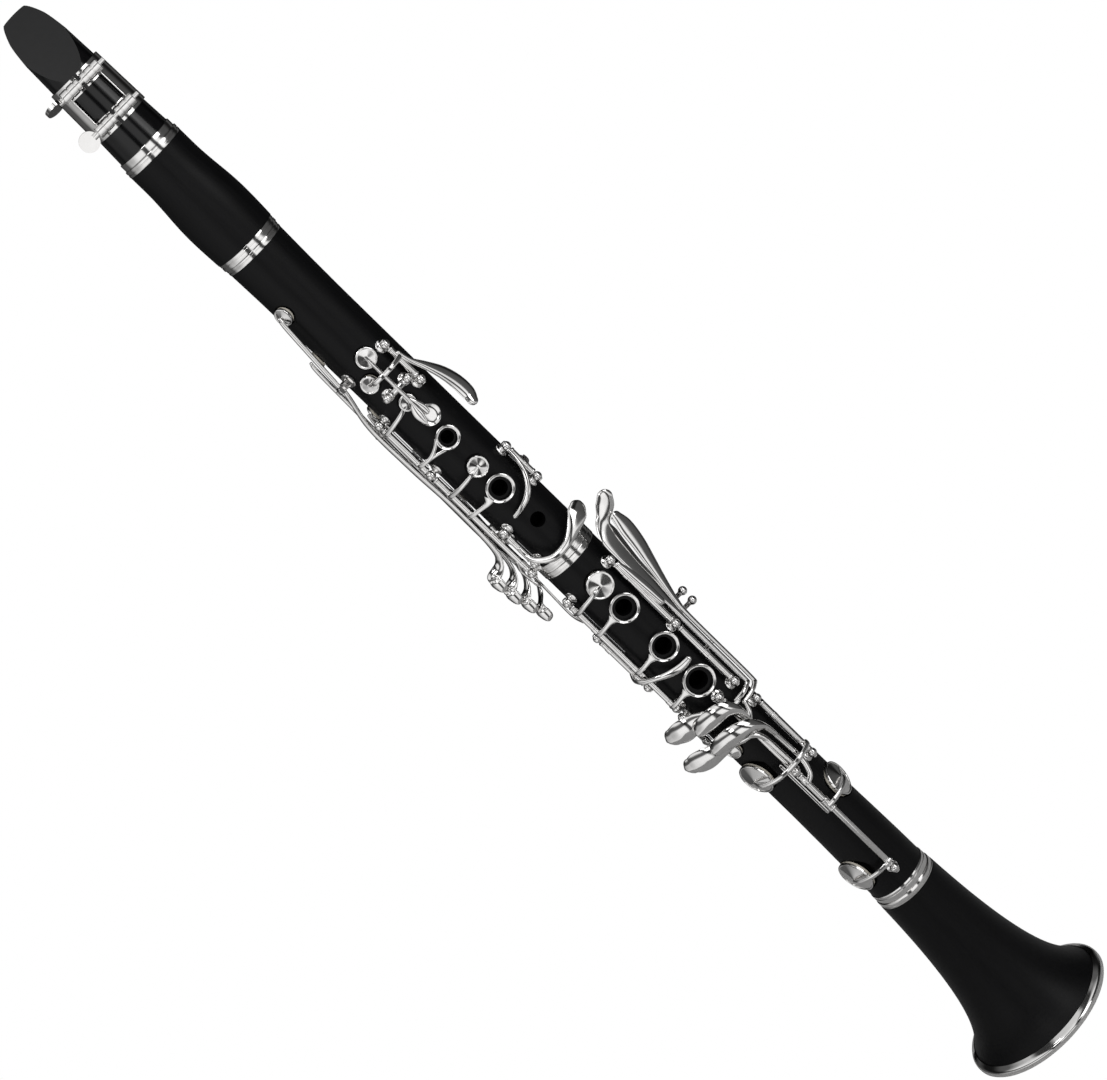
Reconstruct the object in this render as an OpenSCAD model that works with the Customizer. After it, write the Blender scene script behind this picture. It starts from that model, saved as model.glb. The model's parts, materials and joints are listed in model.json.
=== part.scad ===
// Soprano clarinet in B flat, Boehm system, standing on its bell.
// +Z runs up the bore to the mouthpiece tip and the tone holes face -Y.
// The origin is the centre of the bell's mouth. Lengths are in millimetres.
// Angles go round the bore from the front (-Y) towards +X.

/* [Sections] */
// Length of the bell from its mouth to the lower joint
bell_len = 101; // [98:1:106]
// Length of the lower joint between its neighbours
lower_len = 232; // [231:0.5:234]
// Length of the upper joint between its neighbours
upper_len = 198; // [197:0.5:200]
// Length of the barrel
barrel_len = 64; // [60:1:67]
// Length of the mouthpiece outside the barrel
mouthpiece_len = 76; // [75:0.5:78]

/* [Bodies] */
// Outside radius of both joints
joint_r = 14.7; // [14.6:0.05:14.8]
// Radius of the main bore
bore_r = 7.4; // [7.2:0.05:7.5]
// Bore radius at the foot of the lower joint
foot_bore_r = 10.6; // [10:0.1:10.8]
// Greatest radius of the barrel
barrel_r = 16.65; // [16.2:0.05:17]
// Radius of the mouthpiece where it meets the barrel
mouthpiece_r = 13.9; // [13.6:0.05:14]
// Outside radius of the bell's guard ring
rim_r = 40.2; // [39.5:0.1:41]

/* [Tenons] */
// Length of the mouthpiece tenon and of the upper joint's top tenon
top_tenon_len = 16; // [14:0.5:17]
// Length of the tenon between the joints
mid_tenon_len = 14; // [12:0.5:14]
// Length of the tenon in the bell
bell_tenon_len = 22; // [20:0.5:23]
// Radius of the barrel's sockets
top_socket_r = 11; // [10.9:0.05:11.1]
// Radius of the lower joint's socket
mid_socket_r = 11.4; // [11.3:0.05:11.5]
// Radius of the bell's socket
bell_socket_r = 13.4; // [13.3:0.05:13.5]
// Radial clearance of the tenon corks
cork_gap = 0.05; // [0.02:0.01:0.09]
// Thickness of the tenon corks
cork_t = 1.2; // [1:0.1:1.3]

/* [Keywork] */
// Distance of most hinge rods from the bore axis
hinge_r = 18.2; // [18.1:0.05:18.3]
// Distance of the upper stack's hinge rod from the bore axis
stack_r = 19; // [18.9:0.05:19.1]
// Outside radius of the hinge tubes
tube_r = 1.5; // [1.4:0.05:1.5]
// Radius of the hinge rods
rod_r = 0.8; // [0.7:0.05:0.9]
// Radial clearance of a hinge tube on its rod
run_gap = 0.06; // [0.04:0.01:0.09]
// Radius of the ball heads of the posts
ball_r = 2.3; // [2.2:0.05:2.4]
// Thickness of a key's plates and arms
plate_t = 1.2; // [1:0.1:1.2]
// Thickness of a pad below its cup
pad_t = 1.1; // [1:0.05:1.2]
// Thickness of a key cup
cup_t = 1.2; // [1:0.05:1.3]
// Gap under a closed pad
closed_gap = 0.15; // [0.1:0.05:0.2]

/* [Hidden] */
$fn = 64;

black = [0.07, 0.07, 0.08];
silver = [0.8, 0.8, 0.81];
steel = [0.6, 0.61, 0.63];
cork_brown = [0.72, 0.53, 0.34];
skin = [0.86, 0.78, 0.66];
cane = [0.87, 0.76, 0.5];

// Heights of the shoulders where the sections meet
lower_z = bell_len;
upper_z = lower_z + lower_len;
barrel_z = upper_z + upper_len;
mouthpiece_z = barrel_z + barrel_len;
tip_z = mouthpiece_z + mouthpiece_len;
socket_spare = 0.5;

// Tone holes: [height above the joint's shoulder, angle, hole radius, pad radius, rest lift].
// A closed pad has no lift, so its gap is closed_gap.
a_hole = [129.7, 0, 2.2, 4.85, 0];
g_sharp_hole = [120, -27, 2.2, 4.3, 0];
register_hole = [157, 180, 1.6, 3.6, 0];
ring_1_pad_hole = [102.9, -4.5, 2.2, 3.9, 1.1];
ring_2_pad_hole = [60.2, 0, 2.6, 4.9, 1.2];
sliver_hole = [44, 94, 2, 3.6, 0];
c_sharp_hole = [25, -84, 2.2, 3.7, 0];
side_holes = [[167.5, -50, 2.2, 4.4, 0], [142, -91, 2.2, 4.2, 0],
    [106, -110, 2.4, 4.2, 0], [51, -123, 2.6, 4.4, 0]];
upper_pad_holes = concat([a_hole, g_sharp_hole, register_hole, ring_1_pad_hole,
    ring_2_pad_hole, sliver_hole, c_sharp_hole], side_holes);

lower_pad_hole = [213.3, 0, 3.6, 6.5, 1.2];
fork_hole = [185, -112, 3, 4.8, 0];
a_flat_hole = [110, -50, 2.6, 4.4, 0];
f_hole = [91.4, -57, 6, 8.8, 2];
f_sharp_hole = [61.8, 60, 6, 8.8, 0];
e_hole = [20.8, -61.5, 6.2, 9.2, 2];
lower_pad_holes = [lower_pad_hole, fork_hole, a_flat_hole, f_hole, f_sharp_hole, e_hole];

// Finger holes: [height above the shoulder, angle, hole radius, chimney radius]
ring_1_hole = [79.1, 0, 3.1, 3.9];
ring_2_hole = [45.9, 0, 3.8, 4.95];
thumb_hole = [90, 180, 3.4, 4.6];
third_hole = [22.9, 7, 3.6, 3.6];
lower_ring_holes = [[197.6, 1, 4, 5.35], [171.4, 1, 4.2, 5.35], [147.9, 1, 4.6, 6.1]];
ring_gap = 0.35;
ring_w = 1.55;
ring_bottom_r = 16.4;
ring_t = 1.3;
chimney_top_r = 15.25;
lip_w = 0.9;
lip_h = 0.8;

// Hinge axes: [angle, distance from the bore axis]
upper_stack = [-66.3, stack_r];
g_sharp_axis = [33.5, hinge_r];
sliver_axis = [57.5, hinge_r];
c_sharp_axis = [-47, hinge_r];
thumb_axis = [138, hinge_r];
lower_stack = [-61.5, hinge_r];
fork_axis = [-86, hinge_r];
left_axis = [39, hinge_r];
front_axis = [3.7, hinge_r];
f_axis = [45, hinge_r];
a_flat_axis = [-72, hinge_r];

// Rods along the bore: [axis, lowest post, highest post] with heights above the shoulder
upper_rods = [[upper_stack, 5.5, 70.5], [upper_stack, 70.5, 102.9],
    [g_sharp_axis, 105.7, 127.9], [sliver_axis, 35.9, 55.7], [c_sharp_axis, 9, 29],
    [thumb_axis, 78, 102]];
front_foot = 14.6;
lower_rods = [[lower_stack, 143.6, 216.2], [fork_axis, 158, 192], [left_axis, 134.5, 174.2],
    [left_axis, 174.2, 217.3], [front_axis, front_foot, 83.6], [front_axis, 83.6, 135.7],
    [f_axis, 82.3, 120.5], [a_flat_axis, 115, 137]];
// Cross rods in saddles: [height above the shoulder, angle, distance, half width]
a_pivot = [110.8, 0, 18.3, 6.4];
register_pivot = [134, 180, 17.6, 3.2];
side_pivots = [[126.9, -58, 18.6, 2.6], [98, -97, 18.6, 2.6], [79, -110, 18.6, 2.6],
    [29, -123, 18.6, 2.6]];
// Stop posts beside the left levers: heights, angle and distance of their heads
stop_posts = [178.5, 172];
stop_post_a = 88;
stop_post_r = 24.6;
post_gap = 2.6;
flange_t = 0.8;
flange_r = 3;
stem_r = 1.3;
stem_depth = 3;
cheek_t = 1.1;

// Places children at a height and an angle, with local +Z outwards and local +Y up the bore
module on_body(z, a) rotate([0, 0, a]) translate([0, 0, z]) rotate([90, 0, 0]) children();

// Places children at a hinge axis
module on_axis(axis) rotate([0, 0, axis[0]]) translate([0, -axis[1], 0]) children();

// Turns an outline of [radius, height] points about the bore
module turned(outline) rotate_extrude() polygon(outline);

// A plain ring from z0 to z1
module band(z0, z1, r_out, r_in) turned([[r_in, z0], [r_out, z0], [r_out, z1], [r_in, z1]]);

// A chain of flat straps through stations [height, angle, distance, half width]
module strap(stations, t = plate_t) {
    for (i = [0 : len(stations) - 2]) hull() {
        for (s = [stations[i], stations[i + 1]])
            on_body(s[0], s[1]) translate([0, 0, s[2]]) cylinder(r = s[3], h = t, $fn = 20);
    }
}

// A strip bent round the bore from angle a0 to a1
module arc_arm(z, a0, a1, r, w, t = plate_t)
    rotate([0, 0, a0 - 90]) rotate_extrude(angle = a1 - a0) translate([r, z - w / 2]) square([t, w]);

// A key on its hinge tube, with the rod's bore and any pad's room through everything in its way
module hinged(axis, z0, z1, pads = [], base = 0) difference() {
    union() {
        on_axis(axis) translate([0, 0, z0]) cylinder(r = tube_r, h = z1 - z0);
        children();
    }
    on_axis(axis) translate([0, 0, z0 - 1]) cylinder(r = rod_r + run_gap, h = z1 - z0 + 2);
    for (h = pads) pad_room(h, base);
}

// Height above the bore axis of the lip that a pad closes
function seat_r(hole) = sqrt(joint_r * joint_r - pow(hole[2] + lip_w, 2)) - 0.1;
function pad_r0(hole) = seat_r(hole) + (hole[4] > 0 ? hole[4] : closed_gap);

// The pad of a tone hole; base is the height of the joint's shoulder
module pad_of(hole, base) color(skin) on_body(base + hole[0], hole[1]) translate([0, 0, pad_r0(hole)])
    union() {
        cylinder(r = hole[3] - 0.5, h = pad_t + 0.6);
        cylinder(r = hole[3] - 0.15, h = pad_t);
    }

// Room for a pad inside its cup
module pad_room(hole, base) on_body(base + hole[0], hole[1]) translate([0, 0, pad_r0(hole) - 1])
    cylinder(r = hole[3] - 0.5, h = pad_t + 1.6);

// The cup over a pad, with a boss that reaches out to the key's arm
module cup_of(hole, base, boss_top) on_body(base + hole[0], hole[1]) translate([0, 0, pad_r0(hole)])
    difference() {
        union() {
            translate([0, 0, pad_t]) cylinder(r = hole[3], h = cup_t);
            cylinder_to(boss_top - pad_r0(hole), pad_t + cup_t / 2 + 0.2);
        }
        translate([0, 0, -1]) cylinder(r = hole[3] - 0.5, h = pad_t + 1.6);
    }

// A boss from height z0 up to z1
module cylinder_to(z1, z0) translate([0, 0, z0]) cylinder(r = 2, h = max(0.4, z1 - z0));

// A ring round a finger hole's chimney
module finger_ring(hole, base) on_body(base + hole[0], hole[1]) translate([0, 0, ring_bottom_r])
    difference() {
        cylinder(r = hole[3] + ring_gap + ring_w, h = ring_t);
        translate([0, 0, -1]) cylinder(r = hole[3] + ring_gap, h = ring_t + 2);
    }

// A post with a ball head on a hinge axis
module post(axis, z) {
    on_body(z, axis[0]) difference() {
        union() {
            translate([0, 0, joint_r]) cylinder(r = flange_r, h = flange_t);
            translate([0, 0, joint_r - stem_depth]) cylinder(r = stem_r, h = axis[1] - joint_r + stem_depth);
            translate([0, 0, axis[1]]) sphere(r = ball_r);
        }
        translate([0, 0, axis[1]]) rotate([90, 0, 0]) cylinder(r = rod_r, h = 3 * ball_r, center = true);
    }
}

// Two cheeks that hold a cross rod
module saddle(pivot, base) on_body(base + pivot[0], pivot[1]) difference() {
    union() {
        translate([0, 0, joint_r]) cylinder(r = pivot[3] + cheek_t, h = flange_t);
        for (side = [-1, 1]) translate([side * (pivot[3] - cheek_t / 2), 0, 0]) {
            translate([-cheek_t / 2, -1.6, joint_r]) cube([cheek_t, 3.2, pivot[2] - joint_r]);
            translate([0, 0, pivot[2]]) rotate([0, 90, 0]) cylinder(r = 1.6, h = cheek_t, center = true);
        }
    }
    translate([0, 0, pivot[2]]) rotate([0, 90, 0]) cylinder(r = rod_r, h = 20, center = true);
}

// A key on a short tube that turns on a cross rod
module cross_hinged(pivot, base, half_w) difference() {
    union() {
        cross_cylinder(pivot, base, tube_r, 2 * half_w);
        children();
    }
    cross_cylinder(pivot, base, rod_r + run_gap, 20);
}
module cross_cylinder(pivot, base, r, length) on_body(base + pivot[0], pivot[1])
    translate([0, 0, pivot[2]]) rotate([0, 90, 0]) cylinder(r = r, h = length, center = true);

// Pockets round the pads' lips
module pad_pocket(hole, base) on_body(base + hole[0], hole[1]) translate([0, 0, seat_r(hole)])
    difference() {
        translate([0, 0, -lip_h]) cylinder(r = hole[3] + 0.7, h = 9);
        translate([0, 0, -lip_h - 1]) cylinder(r = hole[2] + lip_w, h = lip_h + 1);
    }

module hole_drill(hole, base) on_body(base + hole[0], hole[1]) cylinder(r = hole[2], h = 24);

// A raised rim round a finger hole
module chimney(hole, base) on_body(base + hole[0], hole[1]) translate([0, 0, joint_r - 3])
    cylinder(r = hole[3], h = chimney_top_r - joint_r + 3);

module post_drill(axis, z) on_body(z, axis[0]) translate([0, 0, joint_r - stem_depth])
    cylinder(r = stem_r, h = stem_depth + 2);

// Outlines
function smooth(u) = 0.5 - 0.5 * cos(180 * u);
function bell_out(z) = joint_r + 19 * exp(-z / 42) + 9.5 * exp(-z / 9);
function bell_wall(z) = 2.2 + 4.4 * z / (bell_len - bell_tenon_len);
function bell_in(z) = min(guard_in - 2.2, bell_out(z + 3.2) - bell_wall(z));
function foot_bore(z) = bore_r + (foot_bore_r - bore_r) * pow(max(0, (215 - z) / 136), 2);
function barrel_out(z) = z > barrel_z + 20
    ? barrel_r - 1.65 * smooth(min(1, (z - barrel_z - 20) / 29))
    : barrel_r - 0.5 * (1 - cos(90 * (barrel_z + 20 - z) / 16));

// A cork sleeve in the groove of a tenon
module tenon_cork(z0, z1, socket_r) color(cork_brown)
    band(z0, z1, socket_r - cork_gap, socket_r - cork_gap - cork_t);

// The tenon's own wood, narrower where its cork sits
function tenon_points(z0, z1, socket_r, groove0, groove1) = [
    [socket_r - 0.3, z0], [socket_r - 0.3, groove0], [socket_r - cork_gap - cork_t, groove0],
    [socket_r - cork_gap - cork_t, groove1], [socket_r - 0.3, groove1], [socket_r - 0.3, z1]];

// Mouthpiece
table_y = 8.6;
beak_z = tip_z - 36;
beak_y = 6.6;
cork_margin = 2.5;

// How far the tip's rounded outline falls away at a distance from the middle
function tip_drop(x) = 0.01 * x * x + 7 * pow(max(0, abs(x) - 6) / 4.2, 1.5)
    + 1.8 * pow(max(0, abs(x) - 10), 2);

module mouthpiece() color(black) difference() {
    intersection() {
        turned(concat([[0, mouthpiece_z - top_tenon_len]],
            tenon_points(mouthpiece_z - top_tenon_len, mouthpiece_z, top_socket_r,
                mouthpiece_z - top_tenon_len + cork_margin, mouthpiece_z - cork_margin),
            [[mouthpiece_r, mouthpiece_z], [13.3, mouthpiece_z + 14], [12.4, mouthpiece_z + 41],
            [11.9, tip_z - 20], [11.9, tip_z], [0, tip_z]]));
        rotate([90, 0, 0]) linear_extrude(height = 60, center = true) polygon(concat(
            [[-15, mouthpiece_z - 20], [15, mouthpiece_z - 20], [15, tip_z - 30]],
            [for (i = [0 : 40]) let (x = 12 * cos(4.5 * i)) [x, tip_z - tip_drop(x)]],
            [[-15, tip_z - 30]]));
    }
    // bore
    translate([0, 0, mouthpiece_z - 20]) cylinder(r = bore_r, h = 20 + 44);
    // chamber and window between the side rails
    rotate([90, 0, 90]) linear_extrude(height = 10.4, center = true) polygon([
        [-6, mouthpiece_z + 40], [table_y + 1, mouthpiece_z + 40], [table_y + 1, tip_z - 2.5],
        [7.6, tip_z - 2.5]]);
    // slope of the beak
    rotate([90, 0, 90]) linear_extrude(height = 60, center = true) polygon([
        [-30, beak_z - 34], [-12.3, beak_z], [beak_y, tip_z], [beak_y, tip_z + 5], [-30, tip_z + 5]]);
    // flat table for the reed
    translate([-30, table_y, mouthpiece_z + 7]) cube([60, 20, 90]);
}

module mouthpiece_cork() tenon_cork(mouthpiece_z - top_tenon_len + cork_margin,
    mouthpiece_z - cork_margin, top_socket_r);

module reed() color(cane) intersection() {
    rotate([90, 0, 90]) linear_extrude(height = 12.6, center = true) polygon([
        [table_y, mouthpiece_z + 8], [11.45, mouthpiece_z + 8], [11.45, tip_z - 33],
        [table_y + 0.3, tip_z - 0.6], [table_y, tip_z - 0.6]]);
    cylinder(r = 13.05, h = tip_z + 5);
}

// Ligature: a band with two screw barrels on the beak's side
lig_z0 = mouthpiece_z + 13;
lig_z1 = mouthpiece_z + 41;
lig_screws = [mouthpiece_z + 17.3, mouthpiece_z + 37.2];
lig_screw_y = -16;
lig_screw_r = 1.1;

module ligature_band() color(silver) difference() {
    union() {
        turned([[13.7, lig_z0], [14.3, lig_z0], [13.7, lig_z1], [13.1, lig_z1]]);
        for (z = lig_screws) translate([-10.8, lig_screw_y, z]) rotate([0, 90, 0])
            cylinder(r = 2.5, h = 21.6);
    }
    // slit at the front and the window between the screws
    translate([-0.8, -30, lig_z0 - 1]) cube([1.6, 20, 40]);
    translate([-8.8, -30, lig_screws[0] + 3.2]) cube([17.6, 20, 13]);
    for (z = lig_screws) translate([-15, lig_screw_y, z]) rotate([0, 90, 0])
        cylinder(r = lig_screw_r + run_gap, h = 30);
    // room inside for the mouthpiece and the reed
    turned([[0, lig_z0 - 1], [13.7, lig_z0 - 1], [13.7, lig_z0], [13.1, lig_z1], [13.1, lig_z1 + 1], [0, lig_z1 + 1]]);
}

// A thumbscrew with a round flat head; turn sets where the head faces
module thumbscrew(z, turn) color(silver) translate([0, lig_screw_y, z]) {
    translate([-11.6, 0, 0]) rotate([0, 90, 0]) cylinder(r = lig_screw_r, h = 25);
    translate([-13.4, 0, 0]) rotate([0, 90, 0]) cylinder(r = 1.7, h = 2.2);
    translate([-16, 0, 0]) rotate([90 + turn, 0, 0]) cylinder(r = 4.6, h = 1.8, center = true);
}

module ligature_screw_upper() thumbscrew(lig_screws[1], 68);
module ligature_screw_lower() thumbscrew(lig_screws[0], 0);

// Barrel
barrel_ring_top = 7;
barrel_ring_foot = 3.7;
barrel_ring_in = 13.3;

module barrel() color(black) difference() {
    turned(concat([[0, barrel_z], [barrel_ring_in, barrel_z], [barrel_ring_in, barrel_z + barrel_ring_foot]],
        [for (i = [0 : 24]) let (z = barrel_z + barrel_ring_foot
            + i / 24 * (barrel_len - barrel_ring_foot - barrel_ring_top)) [barrel_out(z), z]],
        [[barrel_ring_in, mouthpiece_z - barrel_ring_top], [barrel_ring_in, mouthpiece_z], [0, mouthpiece_z]]));
    translate([0, 0, barrel_z - 1]) cylinder(r = bore_r, h = barrel_len + 2);
    translate([0, 0, barrel_z - 1]) cylinder(r = top_socket_r, h = top_tenon_len + socket_spare + 1);
    translate([0, 0, mouthpiece_z - top_tenon_len - socket_spare])
        cylinder(r = top_socket_r, h = top_tenon_len + socket_spare + 1);
}

module barrel_rings() color(silver) {
    turned([[barrel_ring_in, barrel_z], [15.6, barrel_z], [15.9, barrel_z + 0.4],
        [15.9, barrel_z + 3.3], [15.6, barrel_z + 3.7], [barrel_ring_in, barrel_z + 3.7]]);
    turned([[barrel_ring_in, mouthpiece_z - 7], [15.1, mouthpiece_z - 7], [15.1, mouthpiece_z - 3.6],
        [14.5, mouthpiece_z - 3.2], [14.5, mouthpiece_z - 0.3], [14.2, mouthpiece_z],
        [barrel_ring_in, mouthpiece_z]]);
}

// Upper joint
upper_ring_top = 2.9;
upper_ring_foot = 4.2;
joint_ring_in = 13;
joint_ring_r = 15;

module upper_joint() color(black) difference() {
    union() {
        difference() {
            union() {
                turned(concat([[0, upper_z - mid_tenon_len]],
                    tenon_points(upper_z - mid_tenon_len, upper_z, mid_socket_r,
                        upper_z - mid_tenon_len + cork_margin, upper_z - cork_margin),
                    [[joint_ring_in, upper_z], [joint_ring_in, upper_z + upper_ring_foot],
                    [joint_r, upper_z + upper_ring_foot], [joint_r, barrel_z - 40],
                    [joint_r + 0.2, barrel_z - 22], [15.3, barrel_z - upper_ring_top],
                    [joint_ring_in, barrel_z - upper_ring_top], [joint_ring_in, barrel_z]],
                    tenon_points(barrel_z, barrel_z + top_tenon_len, top_socket_r,
                        barrel_z + cork_margin, barrel_z + top_tenon_len - cork_margin),
                    [[0, barrel_z + top_tenon_len]]));
                for (h = [ring_1_hole, ring_2_hole, thumb_hole]) chimney(h, upper_z);
            }
            for (h = upper_pad_holes) pad_pocket(h, upper_z);
        }
    }
    translate([0, 0, upper_z - 20]) cylinder(r = bore_r, h = upper_len + 40);
    for (h = concat(upper_pad_holes, [ring_1_hole, ring_2_hole, thumb_hole, third_hole]))
        hole_drill(h, upper_z);
    for (r = upper_rods, end = [1, 2]) post_drill(r[0], upper_z + r[end]);
    for (x = [-1, 1]) post_drill([x * a_post_angle, 0], upper_z + a_pivot[0]);
}

module upper_joint_corks() {
    tenon_cork(upper_z - mid_tenon_len + cork_margin, upper_z - cork_margin, mid_socket_r);
    tenon_cork(barrel_z + cork_margin, barrel_z + top_tenon_len - cork_margin, top_socket_r);
}

module upper_joint_rings() color(silver) {
    band(upper_z, upper_z + upper_ring_foot, joint_ring_r, joint_ring_in);
    band(barrel_z - upper_ring_top, barrel_z, 15.5, joint_ring_in);
}

// Posts of the A key stand either side of its lever
a_post_angle = atan(a_pivot[3] / a_pivot[2]);
a_post_r = norm([a_pivot[3], a_pivot[2]]);

module upper_fittings() color(silver) {
    difference() {
        post(upper_stack, upper_z + upper_rods[0][1]);
        band(upper_z - 1, upper_z + upper_ring_foot + 0.05, joint_ring_r + 0.3, 10);
    }
    for (r = upper_rods, end = [1, 2]) if (r[end] != upper_rods[0][1] && (end == 2 || r[1] != 70.5))
        post(r[0], upper_z + r[end]);
    for (side = [-1, 1]) difference() {
        on_body(upper_z + a_pivot[0], side * a_post_angle) {
            translate([0, 0, joint_r]) cylinder(r = 2.6, h = flange_t);
            translate([0, 0, joint_r - stem_depth]) cylinder(r = stem_r, h = a_post_r - joint_r + stem_depth);
            translate([0, 0, a_post_r]) sphere(r = 2);
        }
        on_body(upper_z + a_pivot[0], 0) translate([0, 0, a_pivot[2]]) rotate([0, 90, 0])
            cylinder(r = rod_r, h = 30, center = true);
    }
    for (p = concat(side_pivots, [register_pivot])) saddle(p, upper_z);
}

module upper_hinge_rods() color(steel) {
    for (r = upper_rods) on_axis(r[0]) translate([0, 0, upper_z + r[1] - (r[1] == 70.5 ? 0 : 2)])
        cylinder(r = rod_r, h = r[2] - r[1] + (r[1] == 70.5 ? 2 : r[2] == 70.5 ? 1.9 : 4));
    for (p = concat([a_pivot], side_pivots, [register_pivot]))
        on_body(upper_z + p[0], p[1]) translate([0, 0, p[2]]) rotate([0, 90, 0])
            cylinder(r = rod_r, h = 2 * p[3], center = true);
}

// Needle springs below the hinge tubes: [axis, lowest, highest]
needle_r = 0.3;
module needles(list, base) color(steel) for (s = list)
    on_axis([s[0][0], s[0][1] - tube_r - 0.8]) translate([0, 0, base + s[1]])
        cylinder(r = needle_r, h = s[2] - s[1]);

module upper_springs() needles([[upper_stack, 46, 67], [upper_stack, 74, 96],
    [g_sharp_axis, 109, 124], [sliver_axis, 39.5, 52], [c_sharp_axis, 12.5, 22],
    [thumb_axis, 82, 98]], upper_z);

// Upper joint keys
module register_key() color(silver) cross_hinged(register_pivot, upper_z, 1.9) {
    strap([[upper_z + 157, 180, 18.2, 1.6], [upper_z + 122, 180, 18.4, 1.6],
        [upper_z + 111, 180, 20.2, 3.2], [upper_z + 104, 180, 19.6, 3.6]]);
    cup_of(register_hole, upper_z, 18.8);
}

module register_pad() pad_of(register_hole, upper_z);

module thumb_ring_key() color(silver)
    hinged(thumb_axis, upper_z + 78 + post_gap, upper_z + 102 - post_gap) {
        strap([[upper_z + 90, 138, 19.15, 1.6], [upper_z + 90, 162, 16.9, 1.8]]);
        finger_ring(thumb_hole, upper_z);
    }

module a_key() color(silver) cross_hinged(a_pivot, upper_z, a_pivot[3] - 2.1) {
    strap([[upper_z + 129.7, 0, 18.5, 1.3], [upper_z + 104, 0, 18.5, 1.3], [upper_z + 93.7, 0, 18.9, 5.8]]);
    cup_of(a_hole, upper_z, 19);
}

module a_pad() pad_of(a_hole, upper_z);

module g_sharp_key() color(silver)
    hinged(g_sharp_axis, upper_z + 105.7 + post_gap, upper_z + 127.9 - post_gap) {
        strap([[upper_z + 119.8, 33.5, 19.2, 1.3], [upper_z + 119.8, 14, 21.6, 1.2],
            [upper_z + 119.8, -10, 21.6, 1.2], [upper_z + 120, -27, 17.2, 1.4]]);
        cup_of(g_sharp_hole, upper_z, 17.6);
        strap([[upper_z + 116, 35, 19.2, 1.4], [upper_z + 103, 58, 20.6, 1.8],
            [upper_z + 90, 72, 21.4, 3.6], [upper_z + 80.5, 64, 20, 3.2]]);
    }

module g_sharp_pad() pad_of(g_sharp_hole, upper_z);

module ring_1_key() color(silver)
    hinged(upper_stack, upper_z + 70.5 + post_gap, upper_z + 102.9 - post_gap, [ring_1_pad_hole], upper_z) {
        strap([[upper_z + 98.5, -66.3, 20, 1.3], [upper_z + 100, -44, 18.5, 1.2],
            [upper_z + 101.5, -22, 17.5, 1.2], [upper_z + 102.7, -8, 16.8, 1.2]], 1);
        cup_of(ring_1_pad_hole, upper_z, 17.62);
        strap([[upper_z + 78, -66.3, 20, 1.5], [upper_z + 79.1, -16, 17, 1.8]]);
        finger_ring(ring_1_hole, upper_z);
    }

module ring_1_pad() pad_of(ring_1_pad_hole, upper_z);

module ring_2_key() color(silver)
    hinged(upper_stack, upper_z + 5.5 + post_gap, upper_z + 70.5 - post_gap, [ring_2_pad_hole], upper_z) {
        strap([[upper_z + 58, -66.3, 20, 1.3], [upper_z + 60, -12, 17.8, 1.4]]);
        cup_of(ring_2_pad_hole, upper_z, 18.6);
        strap([[upper_z + 45, -66.3, 20, 1.6], [upper_z + 45.9, -19, 17.3, 1.9]]);
        finger_ring(ring_2_hole, upper_z);
        // bridge over the lower joint's lever
        strap([[upper_z + 13, -69, 20, 1.4], [upper_z + 9, -79, 20, 1.2], [upper_z - 1.5, -77, 19.7, 1.5]]);
    }

module ring_2_pad() pad_of(ring_2_pad_hole, upper_z);

module sliver_key() color(silver)
    hinged(sliver_axis, upper_z + 35.9 + post_gap, upper_z + 55.7 - post_gap) {
        strap([[upper_z + 43, 54, 19, 1.4], [upper_z + 39, 43, 18.4, 1.4], [upper_z + 34.5, 21, 17.6, 1.4],
            [upper_z + 32.6, 0, 17.2, 1.5], [upper_z + 32.2, -17, 16.9, 1.7]]);
        strap([[upper_z + 44, 60, 19.1, 1.4], [upper_z + 44, 90, 17.1, 1.4]]);
        cup_of(sliver_hole, upper_z, 17.8);
    }

module sliver_pad() pad_of(sliver_hole, upper_z);

module c_sharp_key() color(silver)
    hinged(c_sharp_axis, upper_z + 9 + post_gap, upper_z + 29 - post_gap, [c_sharp_hole], upper_z) {
        arc_arm(upper_z + 25, -84, -46, 16, 2.6, 0.8);
        on_body(upper_z + 25, -47) translate([-1.1, -1.2, 16.2]) cube([2.2, 2.4, 1.3]);
        cup_of(c_sharp_hole, upper_z, 17.2);
        strap([[upper_z + 14.5, -46, 19.1, 1.4], [upper_z + 12, -38, 19.8, 1.5], [upper_z + 7.5, -28, 20, 1.6], [upper_z + 6.8, -8, 19, 1.8],
            [upper_z + 8, 18, 18.8, 2.2], [upper_z + 10, 42, 20, 2.8], [upper_z + 12.5, 60, 22.4, 3]]);
    }

module c_sharp_pad() pad_of(c_sharp_hole, upper_z);

// Side keys: lane is the lever's angle, touch is [height, angle, distance]
side_lanes = [-83.5, -97, -110, -123];
side_touches = [[12, -86, 31.4], [2.2, -90, 30.4], [-6.4, -94, 28.6], [-14.6, -98, 26.8]];
side_lever_r = 21.2;
module side_key(i) color(silver) let (hole = side_holes[i], pivot = side_pivots[i],
    touch = side_touches[i], lane = side_lanes[i], turn_z = i == 0 ? 104 : touch[0] + 34)
    cross_hinged(pivot, upper_z, pivot[3] - cheek_t - 0.2) {
        strap([[upper_z + hole[0], hole[1], 18.4, 1.3], [upper_z + pivot[0] + 2.5, pivot[1], 19.4, 1.2],
            [upper_z + pivot[0] - 2.5, pivot[1], 19.4, 1.2], [upper_z + turn_z, lane, side_lever_r, 1.3],
            [upper_z + touch[0] + 9, lane, side_lever_r, 1.8],
            [upper_z + touch[0], touch[1], touch[2], 3.5]]);
        cup_of(hole, upper_z, 18.8);
    }

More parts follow.
